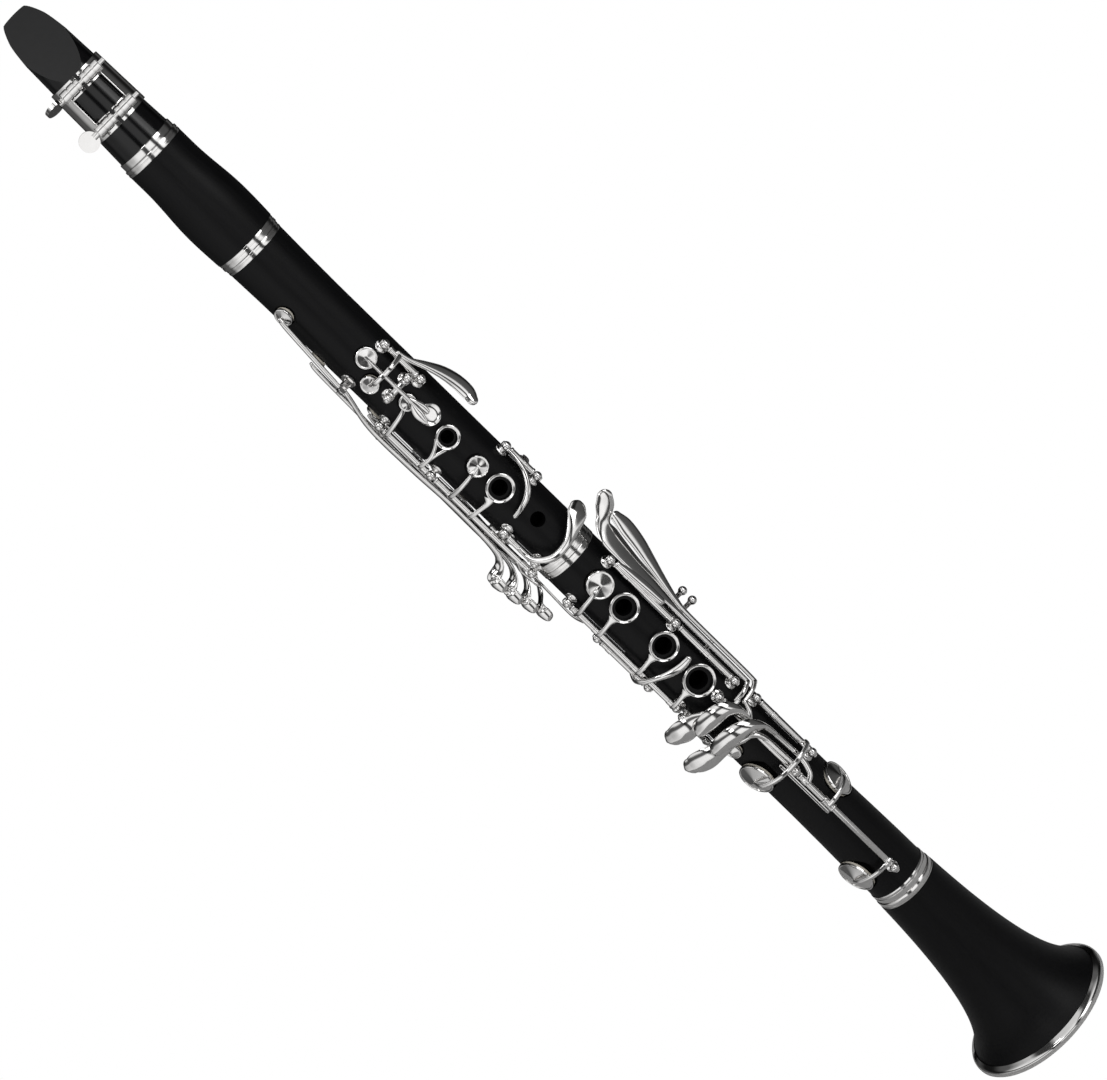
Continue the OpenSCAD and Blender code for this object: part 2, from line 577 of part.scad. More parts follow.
module side_key_1() side_key(0);
module side_pad_1() pad_of(side_holes[0], upper_z);
module side_key_2() side_key(1);
module side_pad_2() pad_of(side_holes[1], upper_z);
module side_key_3() side_key(2);
module side_pad_3() pad_of(side_holes[2], upper_z);
module side_key_4() side_key(3);
module side_pad_4() pad_of(side_holes[3], upper_z);

// Lower joint
lower_ring_top = 3.1;
lower_ring_foot = 4.6;
foot_r = 15.6;
foot_ring_in = 14.6;

module lower_joint() color(black) difference() {
    union() {
        difference() {
            union() {
                turned(concat([[0, lower_z - bell_tenon_len]],
                    tenon_points(lower_z - bell_tenon_len, lower_z, bell_socket_r,
                        lower_z - bell_tenon_len + cork_margin, lower_z - cork_margin),
                    [[foot_ring_in, lower_z], [foot_ring_in, lower_z + lower_ring_foot],
                    [foot_r, lower_z + lower_ring_foot]],
                    [for (i = [0 : 8]) [foot_r - (foot_r - joint_r) * smooth(i / 8), lower_z + 8 + 8 * i]],
                    [[joint_r, upper_z - lower_ring_top], [joint_ring_in, upper_z - lower_ring_top],
                    [joint_ring_in, upper_z], [0, upper_z]]));
                for (h = lower_ring_holes) chimney(h, lower_z);
            }
            for (h = lower_pad_holes) pad_pocket(h, lower_z);
        }
    }
    turned(concat([[0, lower_z - bell_tenon_len - 1]],
        [for (i = [0 : 10]) let (z = lower_z - bell_tenon_len + 13.6 * i) [foot_bore(z), i == 0 ? z - 1 : z]],
        [[bore_r, upper_z + 1], [0, upper_z + 1]]));
    translate([0, 0, upper_z - mid_tenon_len - socket_spare]) cylinder(r = mid_socket_r, h = 30);
    for (h = concat(lower_pad_holes, lower_ring_holes)) hole_drill(h, lower_z);
    for (r = lower_rods, end = [1, 2]) post_drill(r[0], lower_z + r[end]);
    for (z = stop_posts) post_drill([stop_post_a, 0], lower_z + z);
    on_body(lower_z + front_foot, front_axis[0]) translate([0, 0, joint_r]) cylinder(r = flange_r + 0.2, h = 4);
    for (dz = [-1, 1]) on_body(rest_z + dz * rest_screw_gap, 180) translate([0, 0, 10.5]) cylinder(r = 1, h = 8);
}

module lower_joint_cork() tenon_cork(lower_z - bell_tenon_len + cork_margin, lower_z - cork_margin, bell_socket_r);

module lower_joint_rings() color(silver) {
    band(lower_z, lower_z + lower_ring_foot, 16, foot_ring_in);
    band(upper_z - lower_ring_top, upper_z, joint_ring_r, joint_ring_in);
}

module lower_fittings() color(silver) difference() {
    fitted_posts();
    // slot in a post's foot for the low F sharp key's bar
    on_body(lower_z + 78, -6.4) translate([-2.6, 0, 15.3]) cube([3.6, 11, 1.4]);
}

module fitted_posts() {
    for (r = lower_rods, end = [1, 2])
        if (end == 2 || (r[1] != 174.2 && r[1] != 83.6)) post(r[0], lower_z + r[end]);
    for (z = stop_posts) on_body(lower_z + z, stop_post_a) {
        translate([0, 0, joint_r]) cylinder(r = 2.4, h = flange_t);
        translate([0, 0, joint_r - stem_depth]) cylinder(r = stem_r, h = stop_post_r - joint_r + stem_depth);
        translate([0, 0, stop_post_r]) sphere(r = 2.15);
    }
}

module lower_hinge_rods() color(steel) for (r = lower_rods) let (
    from_mid = r[1] == 174.2 || r[1] == 83.6, to_mid = r[2] == 174.2 || r[2] == 83.6,
    z0 = r[1] - (from_mid ? 0 : 2), z1 = r[2] + (to_mid ? -0.1 : 2))
    on_axis(r[0]) translate([0, 0, lower_z + z0]) cylinder(r = rod_r, h = z1 - z0);

module lower_springs() needles([[lower_stack, 180, 208], [fork_axis, 162, 176], [left_axis, 178, 196],
    [left_axis, 140, 156], [front_axis, 24, 44], [front_axis, 112, 130], [f_axis, 90, 112],
    [a_flat_axis, 119, 132]], lower_z);

// Thumb rest with its two screws and a strap ring
rest_z = lower_z + 152;
rest_screw_gap = 8;
rest_ring_z = rest_z + 16;
rest_y = joint_r + 1.6;
module thumb_rest() color(silver) {
    difference() {
        union() {
            translate([-5.5, joint_r + 0.1, rest_z - 12]) cube([11, 1.5, 25]);
            translate([-5.5, joint_r + 0.1, rest_z - 2]) cube([11, 14, 1.8]);
            translate([0, joint_r + 13.5, rest_z - 2]) rotate([0, 90, 0]) translate([0, 0, -5.5])
                cylinder(r = 1.8, h = 11);
            translate([-1, joint_r + 0.1, rest_z + 12]) cube([2, 3.6, 7.2]);
            translate([-1, joint_r + 3.6, rest_ring_z]) rotate([0, 90, 0]) cylinder(r = 3.4, h = 2);
        }
        translate([-5, joint_r + 3.6, rest_ring_z]) rotate([0, 90, 0]) cylinder(r = 1.8, h = 10);
        for (dz = [-1, 1]) on_body(rest_z + dz * rest_screw_gap, 180) cylinder(r = 1.05, h = 30);
    }
    for (dz = [-1, 1]) on_body(rest_z + dz * rest_screw_gap, 180) {
        translate([0, 0, 10.6]) cylinder(r = 1, h = rest_y - 10.6 + 0.1);
        translate([0, 0, rest_y]) difference() {
            cylinder(r = 2, h = 1);
            translate([-3, -0.3, 0.5]) cube([6, 0.6, 1]);
        }
    }
}

// Lower joint keys
module lower_ring_key() color(silver)
    hinged(lower_stack, lower_z + 143.6 + post_gap, lower_z + 216.2 - post_gap, [lower_pad_hole], lower_z) {
        strap([[lower_z + 210.5, -61.5, 19.15, 1.3], [lower_z + 212, -38, 19.4, 1.3], [lower_z + 213.3, -8, 17.8, 1.5]]);
        cup_of(lower_pad_hole, lower_z, 18.3);
        for (h = lower_ring_holes) {
            strap([[lower_z + h[0], -61.5, 19.15, 1.4], [lower_z + h[0], -20.5, 17.6, 1.6]]);
            finger_ring(h, lower_z);
        }
        // lever under the upper joint's bridge
        strap([[lower_z + 204, -63, 19.15, 1.4], [lower_z + 209.5, -76, 18.8, 1.2],
            [lower_z + 233.4, -77, 18, 1.4]], 1);
    }

module lower_ring_pad() pad_of(lower_pad_hole, lower_z);

module fork_key() color(silver)
    hinged(fork_axis, lower_z + 158 + post_gap, lower_z + 192 - post_gap) {
        strap([[lower_z + 167, -86, 19.15, 1.4], [lower_z + 165, -62, 21, 1.4], [lower_z + 162.3, -38, 19.4, 1.5],
            [lower_z + 159.2, -12, 17.8, 1.7], [lower_z + 158.4, 14, 17.2, 1.9]]);
        strap([[lower_z + 184, -90, 19.1, 1.4], [lower_z + 185, -109, 17.4, 1.5]]);
        cup_of(fork_hole, lower_z, 18);
    }

module fork_pad() pad_of(fork_hole, lower_z);

module lh_f_sharp_lever() color(silver)
    hinged(left_axis, lower_z + 174.2 + post_gap, lower_z + 217.3 - post_gap) {
        strap([[lower_z + 239, 73, 32.4, 3.4], [lower_z + 231, 66, 22, 3.8], [lower_z + 205, 60, 20, 3.4],
            [lower_z + 176, 59, 19.8, 1.3], [lower_z + 129, 58, 19.8, 1.3], [lower_z + 128.5, 18, 17.6, 1.3]]);
        strap([[lower_z + 207, 39, 19.15, 1.6], [lower_z + 207, 58, 19.6, 2.4]]);
    }

module lh_e_lever() color(silver)
    hinged(left_axis, lower_z + 134.5 + post_gap, lower_z + 174.2 - post_gap) {
        strap([[lower_z + 226, 71, 27.6, 3.6], [lower_z + 197, 71, 25.4, 1.5], [lower_z + 173, 72, 19.2, 1.3],
            [lower_z + 125.5, 72, 19.2, 1.3], [lower_z + 125.2, 48, 19.1, 1.3], [lower_z + 125, 24, 17.9, 1.3]]);
        arc_arm(lower_z + 154, 39, 73, 16.2, 2.8);
        on_body(lower_z + 154, 72) translate([-1.1, -1.1, 16.3]) cube([2.2, 2.2, 3.6]);
    }

module rh_f_sharp_key() color(silver) difference() {
    hinged(front_axis, lower_z + 83.6 + post_gap, lower_z + 135.7 - post_gap) {
        strap([[lower_z + 130.3, 5, 20.9, 3], [lower_z + 130.4, -20, 21.6, 4.6], [lower_z + 129.8, -38, 21.9, 3.6]]);
        on_body(lower_z + 129, 3.7) translate([-1.2, -2, 19.2]) cube([2.4, 4, 1.6]);
        strap([[lower_z + 128.5, 5, 19.3, 1.3], [lower_z + 128.5, 18, 19.6, 1.3]]);
        // bar under the low E key's tube, and the sleeve that turns on that tube
        on_body(lower_z + 57, -6.4) translate([-0.8, 0, 15.9]) cube([1.6, 33, 0.8]);
        on_body(lower_z + 87, -6.4) translate([-0.6, 0.4, 16.1]) cube([3.4, 2.3, 1.6]);
        on_body(lower_z + 57.5, -6.4) translate([-0.6, 0, 16.1]) cube([2.7, 7, 1.2]);
        on_axis(front_axis) translate([0, 0, lower_z + 57]) cylinder(r = 2.2, h = 8);
        arc_arm(lower_z + 61, 5, 60, 18.8, 3);
        cup_of(f_sharp_hole, lower_z, 19.4);
    }
    on_axis(front_axis) translate([0, 0, lower_z + 55]) cylinder(r = tube_r + run_gap, h = 12);
}

module f_sharp_pad() pad_of(f_sharp_hole, lower_z);

module rh_a_flat_key() color(silver)
    hinged(a_flat_axis, lower_z + 115 + post_gap, lower_z + 137 - post_gap) {
        strap([[lower_z + 139.5, -30, 21.8, 3.4], [lower_z + 138, -50, 23, 4.6], [lower_z + 136.5, -66, 25.6, 4.2]]);
        strap([[lower_z + 130, -72, 19.15, 1.5], [lower_z + 133.5, -68, 24.8, 2.2]]);
        strap([[lower_z + 120, -71, 19.15, 1.4], [lower_z + 119, -60, 18.8, 1.4], [lower_z + 111, -53, 17.2, 1.5]]);
        cup_of(a_flat_hole, lower_z, 17.8);
    }

module a_flat_pad() pad_of(a_flat_hole, lower_z);

module rh_e_key() color(silver)
    hinged(front_axis, lower_z + 14.6 + post_gap, lower_z + 83.6 - post_gap) {
        strap([[lower_z + 125, 23, 19.9, 1.3], [lower_z + 119, 8, 21, 2.6], [lower_z + 117.5, -20, 21.7, 5],
            [lower_z + 117, -43, 22.4, 3.9]]);
        strap([[lower_z + 118, 10, 20.7, 2], [lower_z + 110, 20, 18.5, 1.5],
            [lower_z + 84, 24, 17.6, 1.5], [lower_z + 77, 6, 17.8, 1.5]]);
        arc_arm(lower_z + 19.6, -61.5, 4.5, 19.2, 3.2);
        cup_of(e_hole, lower_z, 19.8);
    }

module e_pad() pad_of(e_hole, lower_z);

module rh_f_key() color(silver)
    hinged(f_axis, lower_z + 82.3 + post_gap, lower_z + 120.5 - post_gap) {
        strap([[lower_z + 118, -74, 29, 3.9], [lower_z + 118, -62, 25.8, 3.4], [lower_z + 110.5, -52, 24.6, 1.8],
            [lower_z + 107.5, -15, 22.6, 1.4], [lower_z + 107.5, 16, 22.4, 1.4], [lower_z + 108, 33, 21.4, 1.4],
            [lower_z + 108.5, 45, 19.15, 1.5]]);
        arc_arm(lower_z + 88.2, -57, 47, 21.4, 3);
        on_body(lower_z + 88.2, 45) translate([-1.1, -1.2, 19.2]) cube([2.2, 2.4, 2.8]);
        cup_of(f_hole, lower_z, 21.9);
    }

module f_pad() pad_of(f_hole, lower_z);

// Bell
bell_ring_h = 3.6;
guard_in = 36.8;
guard_h = 4.9;
bell_edge_z = 0.6;
bell_mouth_h = bell_len - bell_tenon_len - socket_spare;

module bell() color(black) difference() {
    turned(concat([[0, bell_edge_z], [guard_in, bell_edge_z], [guard_in, guard_h - 0.6]],
        [for (i = [0 : 30]) let (z = guard_h + (bell_len - bell_ring_h - guard_h) * pow(i / 30, 1.5))
            [min(guard_in, bell_out(z) - exp((2 - z) / 4)), z]],
        [[foot_ring_in, bell_len - bell_ring_h], [foot_ring_in, bell_len], [0, bell_len]]));
    turned(concat([[0, -1], [bell_in(0), -1]],
        [for (i = [0 : 24]) let (z = bell_mouth_h * pow(i / 24, 1.5)) [bell_in(z), z]],
        [[0, bell_mouth_h]]));
    translate([0, 0, bell_mouth_h]) cylinder(r = bell_socket_r, h = 40);
}

module bell_rings() color(silver) {
    band(bell_len - bell_ring_h, bell_len, 16.4, foot_ring_in);
    turned([[guard_in, 0], [rim_r - 0.7, 0], [rim_r, 0.8], [rim_r, 2.4], [rim_r - 0.6, 3.4],
        [rim_r - 1.9, 4.4], [guard_in + 0.3, guard_h], [guard_in, guard_h - 0.6]]);
}

mouthpiece();
mouthpiece_cork();
reed();
ligature_band();
ligature_screw_upper();
ligature_screw_lower();
barrel();
barrel_rings();
upper_joint();
upper_joint_corks();
upper_joint_rings();
upper_fittings();
upper_hinge_rods();
upper_springs();
register_key();
register_pad();
thumb_ring_key();
a_key();
a_pad();
g_sharp_key();
g_sharp_pad();
ring_1_key();
ring_1_pad();
ring_2_key();
ring_2_pad();
sliver_key();
sliver_pad();
c_sharp_key();
c_sharp_pad();
side_key_1();
side_pad_1();
side_key_2();
side_pad_2();
side_key_3();
side_pad_3();
side_key_4();
side_pad_4();
lower_joint();
lower_joint_cork();
lower_joint_rings();
lower_fittings();
lower_hinge_rods();
lower_springs();
thumb_rest();
lower_ring_key();
lower_ring_pad();
fork_key();
fork_pad();
lh_f_sharp_lever();
lh_e_lever();
rh_f_sharp_key();
f_sharp_pad();
rh_a_flat_key();
a_flat_pad();
rh_e_key();
e_pad();
rh_f_key();
f_pad();
bell();
bell_rings();
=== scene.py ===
"""Clarinet standing on its bell: keywork, turned bodies, studio and camera."""
import json
import math

import bmesh
import bpy
from mathutils import Matrix, Vector


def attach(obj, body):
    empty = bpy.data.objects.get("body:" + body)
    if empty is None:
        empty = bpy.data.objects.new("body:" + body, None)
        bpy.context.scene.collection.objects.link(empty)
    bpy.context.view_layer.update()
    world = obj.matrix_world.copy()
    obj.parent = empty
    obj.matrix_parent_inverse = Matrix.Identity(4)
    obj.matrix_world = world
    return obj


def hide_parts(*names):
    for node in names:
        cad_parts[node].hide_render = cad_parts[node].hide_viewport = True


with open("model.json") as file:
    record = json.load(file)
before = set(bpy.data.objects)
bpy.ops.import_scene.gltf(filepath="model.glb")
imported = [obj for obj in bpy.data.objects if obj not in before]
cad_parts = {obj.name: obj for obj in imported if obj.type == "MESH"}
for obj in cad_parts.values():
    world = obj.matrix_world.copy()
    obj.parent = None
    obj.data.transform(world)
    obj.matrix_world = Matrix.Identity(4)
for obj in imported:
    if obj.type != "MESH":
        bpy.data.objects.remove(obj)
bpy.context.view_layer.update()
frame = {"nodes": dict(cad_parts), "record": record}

# ---------------------------------------------------------------- camera
CAM_HEIGHT = 0.6784
CAM_DISTANCE = 1.2549
CAM_TILT = math.radians(15.087)
CAM_ROLL = math.radians(44.15)
CAM_LENS = 93.07


def make_camera():
    """The camera looks at the tone-hole side, tilted towards the bell and rolled."""
    data = bpy.data.cameras.new("camera")
    data.lens = CAM_LENS
    data.sensor_width = 36
    data.clip_start, data.clip_end = 0.05, 60
    cam = bpy.data.objects.new("camera", data)
    bpy.context.scene.collection.objects.link(cam)
    forward = Vector((0, math.cos(CAM_TILT), -math.sin(CAM_TILT)))
    down_bore = Vector((0, -math.sin(CAM_TILT), -math.cos(CAM_TILT)))
    side = Vector((-1, 0, 0))
    c, s = math.cos(CAM_ROLL), math.sin(CAM_ROLL)
    right = c * down_bore - s * side
    up = -s * down_bore - c * side
    m = Matrix((right, up, -forward)).transposed().to_4x4()
    m.translation = Vector((0, -CAM_DISTANCE, CAM_HEIGHT))
    cam.matrix_world = m
    bpy.context.scene.camera = cam


make_camera()


# ---------------------------------------------------------------- studio
def softbox(name, loc, target, size, power):
    """A white rectangular area light aimed at a point."""
    data = bpy.data.lights.new(name, "AREA")
    data.shape = "RECTANGLE"
    data.size, data.size_y = size
    data.energy = power
    obj = bpy.data.objects.new(name, data)
    obj.location = loc
    obj.rotation_mode = "QUATERNION"
    obj.rotation_quaternion = (Vector(target) - Vector(loc)).to_track_quat("-Z", "Y")
    bpy.context.scene.collection.objects.link(obj)


def make_world():
    """A studio of bright and dark panels round the object, and plain white where the camera sees it."""
    world = bpy.data.worlds.new("studio")
    bpy.context.scene.world = world
    world.use_nodes = True
    nt = world.node_tree
    nt.nodes.clear()
    out = nt.nodes.new("ShaderNodeOutputWorld")
    mix = nt.nodes.new("ShaderNodeMixShader")
    path = nt.nodes.new("ShaderNodeLightPath")
    seen = nt.nodes.new("ShaderNodeBackground")
    lit = nt.nodes.new("ShaderNodeBackground")
    seen.inputs["Color"].default_value = (1, 1, 1, 1)
    seen.inputs["Strength"].default_value = 1.0
    lit.inputs["Strength"].default_value = 1.0
    coord = nt.nodes.new("ShaderNodeTexCoord")
    sep = nt.nodes.new("ShaderNodeSeparateXYZ")
    nt.links.new(coord.outputs["Generated"], sep.inputs[0])

    def panels(axis, stops):
        remap = nt.nodes.new("ShaderNodeMapRange")
        remap.inputs["From Min"].default_value = -1
        remap.inputs["From Max"].default_value = 1
        ramp = nt.nodes.new("ShaderNodeValToRGB")
        while len(ramp.color_ramp.elements) < len(stops):
            ramp.color_ramp.elements.new(0.5)
        for el, (pos, val) in zip(ramp.color_ramp.elements, stops):
            el.position = (pos + 1) / 2
            el.color = (val, val, val, 1)
        nt.links.new(sep.outputs[axis], remap.inputs["Value"])
        nt.links.new(remap.outputs[0], ramp.inputs[0])
        return ramp.outputs[0]
    across = panels("X", ACROSS)
    upward = panels("Z", UPWARD)
    depth = panels("Y", DEPTH)
    product = across
    for part in (upward, depth):
        both = nt.nodes.new("ShaderNodeVectorMath")
        both.operation = "MULTIPLY"
        nt.links.new(product, both.inputs[0])
        nt.links.new(part, both.inputs[1])
        product = both.outputs[0]
    nt.links.new(product, lit.inputs["Color"])
    nt.links.new(path.outputs["Is Camera Ray"], mix.inputs[0])
    nt.links.new(lit.outputs[0], mix.inputs[1])
    nt.links.new(seen.outputs[0], mix.inputs[2])
    nt.links.new(mix.outputs[0], out.inputs[0])


def make_floor():
    mesh = bpy.data.meshes.new("floor")
    r = 0.35
    mesh.from_pydata([(-r, -r, 0), (r, -r, 0), (r, r, 0), (-r, r, 0)], [], [(0, 1, 2, 3)])
    obj = bpy.data.objects.new("floor", mesh)
    bpy.context.scene.collection.objects.link(obj)
    obj.location.z = -0.0002
    mat = bpy.data.materials.new("floor_white")
    mat.use_nodes = True
    nt = mat.node_tree
    bsdf = nt.nodes["Principled BSDF"]
    bsdf.inputs["Base Color"].default_value = (0.6, 0.6, 0.6, 1)
    bsdf.inputs["Roughness"].default_value = 0.9
    white = nt.nodes.new("ShaderNodeEmission")
    path = nt.nodes.new("ShaderNodeLightPath")
    mix = nt.nodes.new("ShaderNodeMixShader")
    nt.links.new(path.outputs["Is Camera Ray"], mix.inputs[0])
    nt.links.new(bsdf.outputs[0], mix.inputs[1])
    nt.links.new(white.outputs[0], mix.inputs[2])
    nt.links.new(mix.outputs[0], nt.nodes["Material Output"].inputs["Surface"])
    mesh.materials.append(mat)


# Brightness of the studio from the right hand (-X) to the left, and from below to overhead
ACROSS = ((-1.0, 0.5), (-0.9, 0.8), (-0.8, 1.0), (-0.44, 1.0), (-0.37, 0.06), (-0.17, 0.05), (-0.1, 1.0),
          (0.3, 1.05), (0.37, 0.06), (0.5, 0.05), (0.56, 1.05), (0.7, 1.05), (0.8, 0.12), (1.0, 0.08))
UPWARD = ((-1.0, 0.4), (-0.6, 0.8), (-0.2, 1.0), (0.22, 0.95), (0.34, 0.1), (0.5, 0.1), (0.62, 1.0),
          (1.0, 0.7))
DEPTH = ((-1.0, 1.0), (0.1, 0.85), (0.4, 0.1), (1.0, 0.05))
bpy.context.scene.view_settings.view_transform = "Standard"
make_world()
make_floor()
softbox("key", (1.5, -1.3, 1.2), (0, 0, 0.35), (0.9, 1.6), 9)
softbox("front", (-0.5, -2.2, 1.9), (0, 0, 0.35), (0.8, 0.8), 4)
softbox("beak", (-0.11, -0.27, 0.85), (0, 0, 0.655), (0.09, 0.09), 0.22)


# ---------------------------------------------------------------- materials
def new_material(name):
    mat = bpy.data.materials.new(name)
    mat.use_nodes = True
    return mat, mat.node_tree, mat.node_tree.nodes["Principled BSDF"]


def body_material(name, color, rough, bump, grain, specular=0.5):
    """Dark satin body with fine lengthwise grain."""
    mat, nt, bsdf = new_material(name)
    bsdf.inputs["Specular IOR Level"].default_value = specular
    coord = nt.nodes.new("ShaderNodeTexCoord")
    mapping = nt.nodes.new("ShaderNodeMapping")
    mapping.inputs["Scale"].default_value = (900, 900, 40) if grain else (400, 400, 400)
    noise = nt.nodes.new("ShaderNodeTexNoise")
    noise.inputs["Scale"].default_value = 1.0
    noise.inputs["Detail"].default_value = 6
    nt.links.new(coord.outputs["Object"], mapping.inputs[0])
    nt.links.new(mapping.outputs[0], noise.inputs["Vector"])
    ramp = nt.nodes.new("ShaderNodeValToRGB")
    ramp.color_ramp.elements[0].position = 0.3
    ramp.color_ramp.elements[0].color = (*[c * 0.7 for c in color], 1)
    ramp.color_ramp.elements[1].position = 0.75
    ramp.color_ramp.elements[1].color = (*[c * 1.3 for c in color], 1)
    nt.links.new(noise.outputs["Fac"], ramp.inputs[0])
    nt.links.new(ramp.outputs[0], bsdf.inputs["Base Color"])
    rr = nt.nodes.new("ShaderNodeMapRange")
    rr.inputs["To Min"].default_value = rough - 0.05
    rr.inputs["To Max"].default_value = rough + 0.06
    nt.links.new(noise.outputs["Fac"], rr.inputs["Value"])
    nt.links.new(rr.outputs[0], bsdf.inputs["Roughness"])
    b = nt.nodes.new("ShaderNodeBump")
    b.inputs["Strength"].default_value = bump
    b.inputs["Distance"].default_value = 0.0002
    nt.links.new(noise.outputs["Fac"], b.inputs["Height"])
    nt.links.new(b.outputs[0], bsdf.inputs["Normal"])
    return mat


def satin_facet(mat, normal, rough):
    """Makes the faces that look one way satin, like a sanded beak."""
    nt = mat.node_tree
    bsdf = nt.nodes["Principled BSDF"]
    old = bsdf.inputs["Roughness"].links[0].from_socket
    geo = nt.nodes.new("ShaderNodeNewGeometry")
    dot = nt.nodes.new("ShaderNodeVectorMath")
    dot.operation = "DOT_PRODUCT"
    dot.inputs[1].default_value = normal
    nt.links.new(geo.outputs["True Normal"], dot.inputs[0])
    mask = nt.nodes.new("ShaderNodeMapRange")
    mask.inputs["From Min"].default_value = 0.985
    mask.inputs["From Max"].default_value = 0.995
    mask.inputs["To Max"].default_value = rough
    nt.links.new(dot.outputs["Value"], mask.inputs["Value"])
    nt.links.new(old, mask.inputs["To Min"])
    nt.links.new(mask.outputs[0], bsdf.inputs["Roughness"])


def metal_material(name, color, rough):
    """Polished plate with faint waves, smears and fine scratches."""
    mat, nt, bsdf = new_material(name)
    bsdf.inputs["Metallic"].default_value = 1.0
    coord = nt.nodes.new("ShaderNodeTexCoord")
    broad = nt.nodes.new("ShaderNodeTexNoise")
    broad.inputs["Scale"].default_value = 140
    broad.inputs["Detail"].default_value = 3
    fine = nt.nodes.new("ShaderNodeTexNoise")
    fine.inputs["Scale"].default_value = 1600
    fine.inputs["Detail"].default_value = 4
    nt.links.new(coord.outputs["Object"], broad.inputs["Vector"])
    nt.links.new(coord.outputs["Object"], fine.inputs["Vector"])
    ramp = nt.nodes.new("ShaderNodeValToRGB")
    ramp.color_ramp.elements[0].position = 0.3
    ramp.color_ramp.elements[0].color = (*[c * 0.9 for c in color], 1)
    ramp.color_ramp.elements[1].position = 0.7
    ramp.color_ramp.elements[1].color = (*color, 1)
    nt.links.new(broad.outputs["Fac"], ramp.inputs[0])
    nt.links.new(ramp.outputs[0], bsdf.inputs["Base Color"])
    rr = nt.nodes.new("ShaderNodeMapRange")
    rr.inputs["From Min"].default_value = 0.3
    rr.inputs["From Max"].default_value = 0.7
    rr.inputs["To Min"].default_value = rough * 0.7
    rr.inputs["To Max"].default_value = rough * 1.4
    nt.links.new(fine.outputs["Fac"], rr.inputs["Value"])
    nt.links.new(rr.outputs[0], bsdf.inputs["Roughness"])
    b = nt.nodes.new("ShaderNodeBump")
    b.inputs["Strength"].default_value = 0.08
    b.inputs["Distance"].default_value = 0.0003
    nt.links.new(broad.outputs["Fac"], b.inputs["Height"])
    nt.links.new(b.outputs[0], bsdf.inputs["Normal"])
    return mat


MATS = {
    "blackwood": body_material("blackwood", (0.0035, 0.0035, 0.004), 0.42, 0.12, True, 0.17),
    "ebonite": body_material("ebonite", (0.003, 0.003, 0.0035), 0.14, 0.02, False, 0.4),
    "silver_plate": metal_material("silver_plate", (0.92, 0.91, 0.90), 0.09),
    "rod_steel": metal_material("rod_steel", (0.55, 0.55, 0.56), 0.2),
    "cork": body_material("cork", (0.42, 0.26, 0.13), 0.8, 0.6, False),
    "pad_skin": body_material("pad_skin", (0.66, 0.62, 0.54), 0.6, 0.3, False),
    "cane": body_material("cane", (0.62, 0.47, 0.22), 0.5, 0.3, True),
}
satin_facet(MATS["ebonite"], (0, -0.885, 0.465), 0.4)
SLOT_OF = {p["node"]: p["material_slot"] for p in frame["record"]["subparts"]}
for node, obj in frame["nodes"].items():
    mat = MATS[SLOT_OF[node]]
    for i in range(max(1, len(obj.material_slots))):
        if i >= len(obj.material_slots):
            obj.data.materials.append(mat)
        else:
            obj.material_slots[i].material = mat

# ---------------------------------------------------------------- mesh tools
# Every station is (height, angle, distance, half width, thickness) in millimetres and
# degrees: height along +Z, angle round the bore from the front towards +X.
MM = 0.001
U0, L0 = 333.0, 101.0  # heights of the upper and the lower joint's bottom shoulder
BODY_R = 14.7  # radius of both joints


def polar(z, a, r):
    t = math.radians(a)
    return Vector((r * math.sin(t), -r * math.cos(t), z))


def outward(a):
    t = math.radians(a)
    return Vector((math.sin(t), -math.cos(t), 0))


def tangent(a):
    t = math.radians(a)
    return Vector((math.cos(t), math.sin(t), 0))


def spline(rows, steps):
    """Catmull-Rom through rows of numbers."""
    out = []
    n = len(rows)
    for i in range(n - 1):
        p0, p1, p2, p3 = rows[max(i - 1, 0)], rows[i], rows[i + 1], rows[min(i + 2, n - 1)]
        for k in range(steps):
            t = k / steps
            out.append([0.5 * (2 * b + (c - a) * t + (2 * a - 5 * b + 4 * c - d) * t * t
                               + (3 * b - a - 3 * c + d) * t ** 3)
                        for a, b, c, d in zip(p0, p1, p2, p3)])
    out.append(list(rows[-1]))
    return out


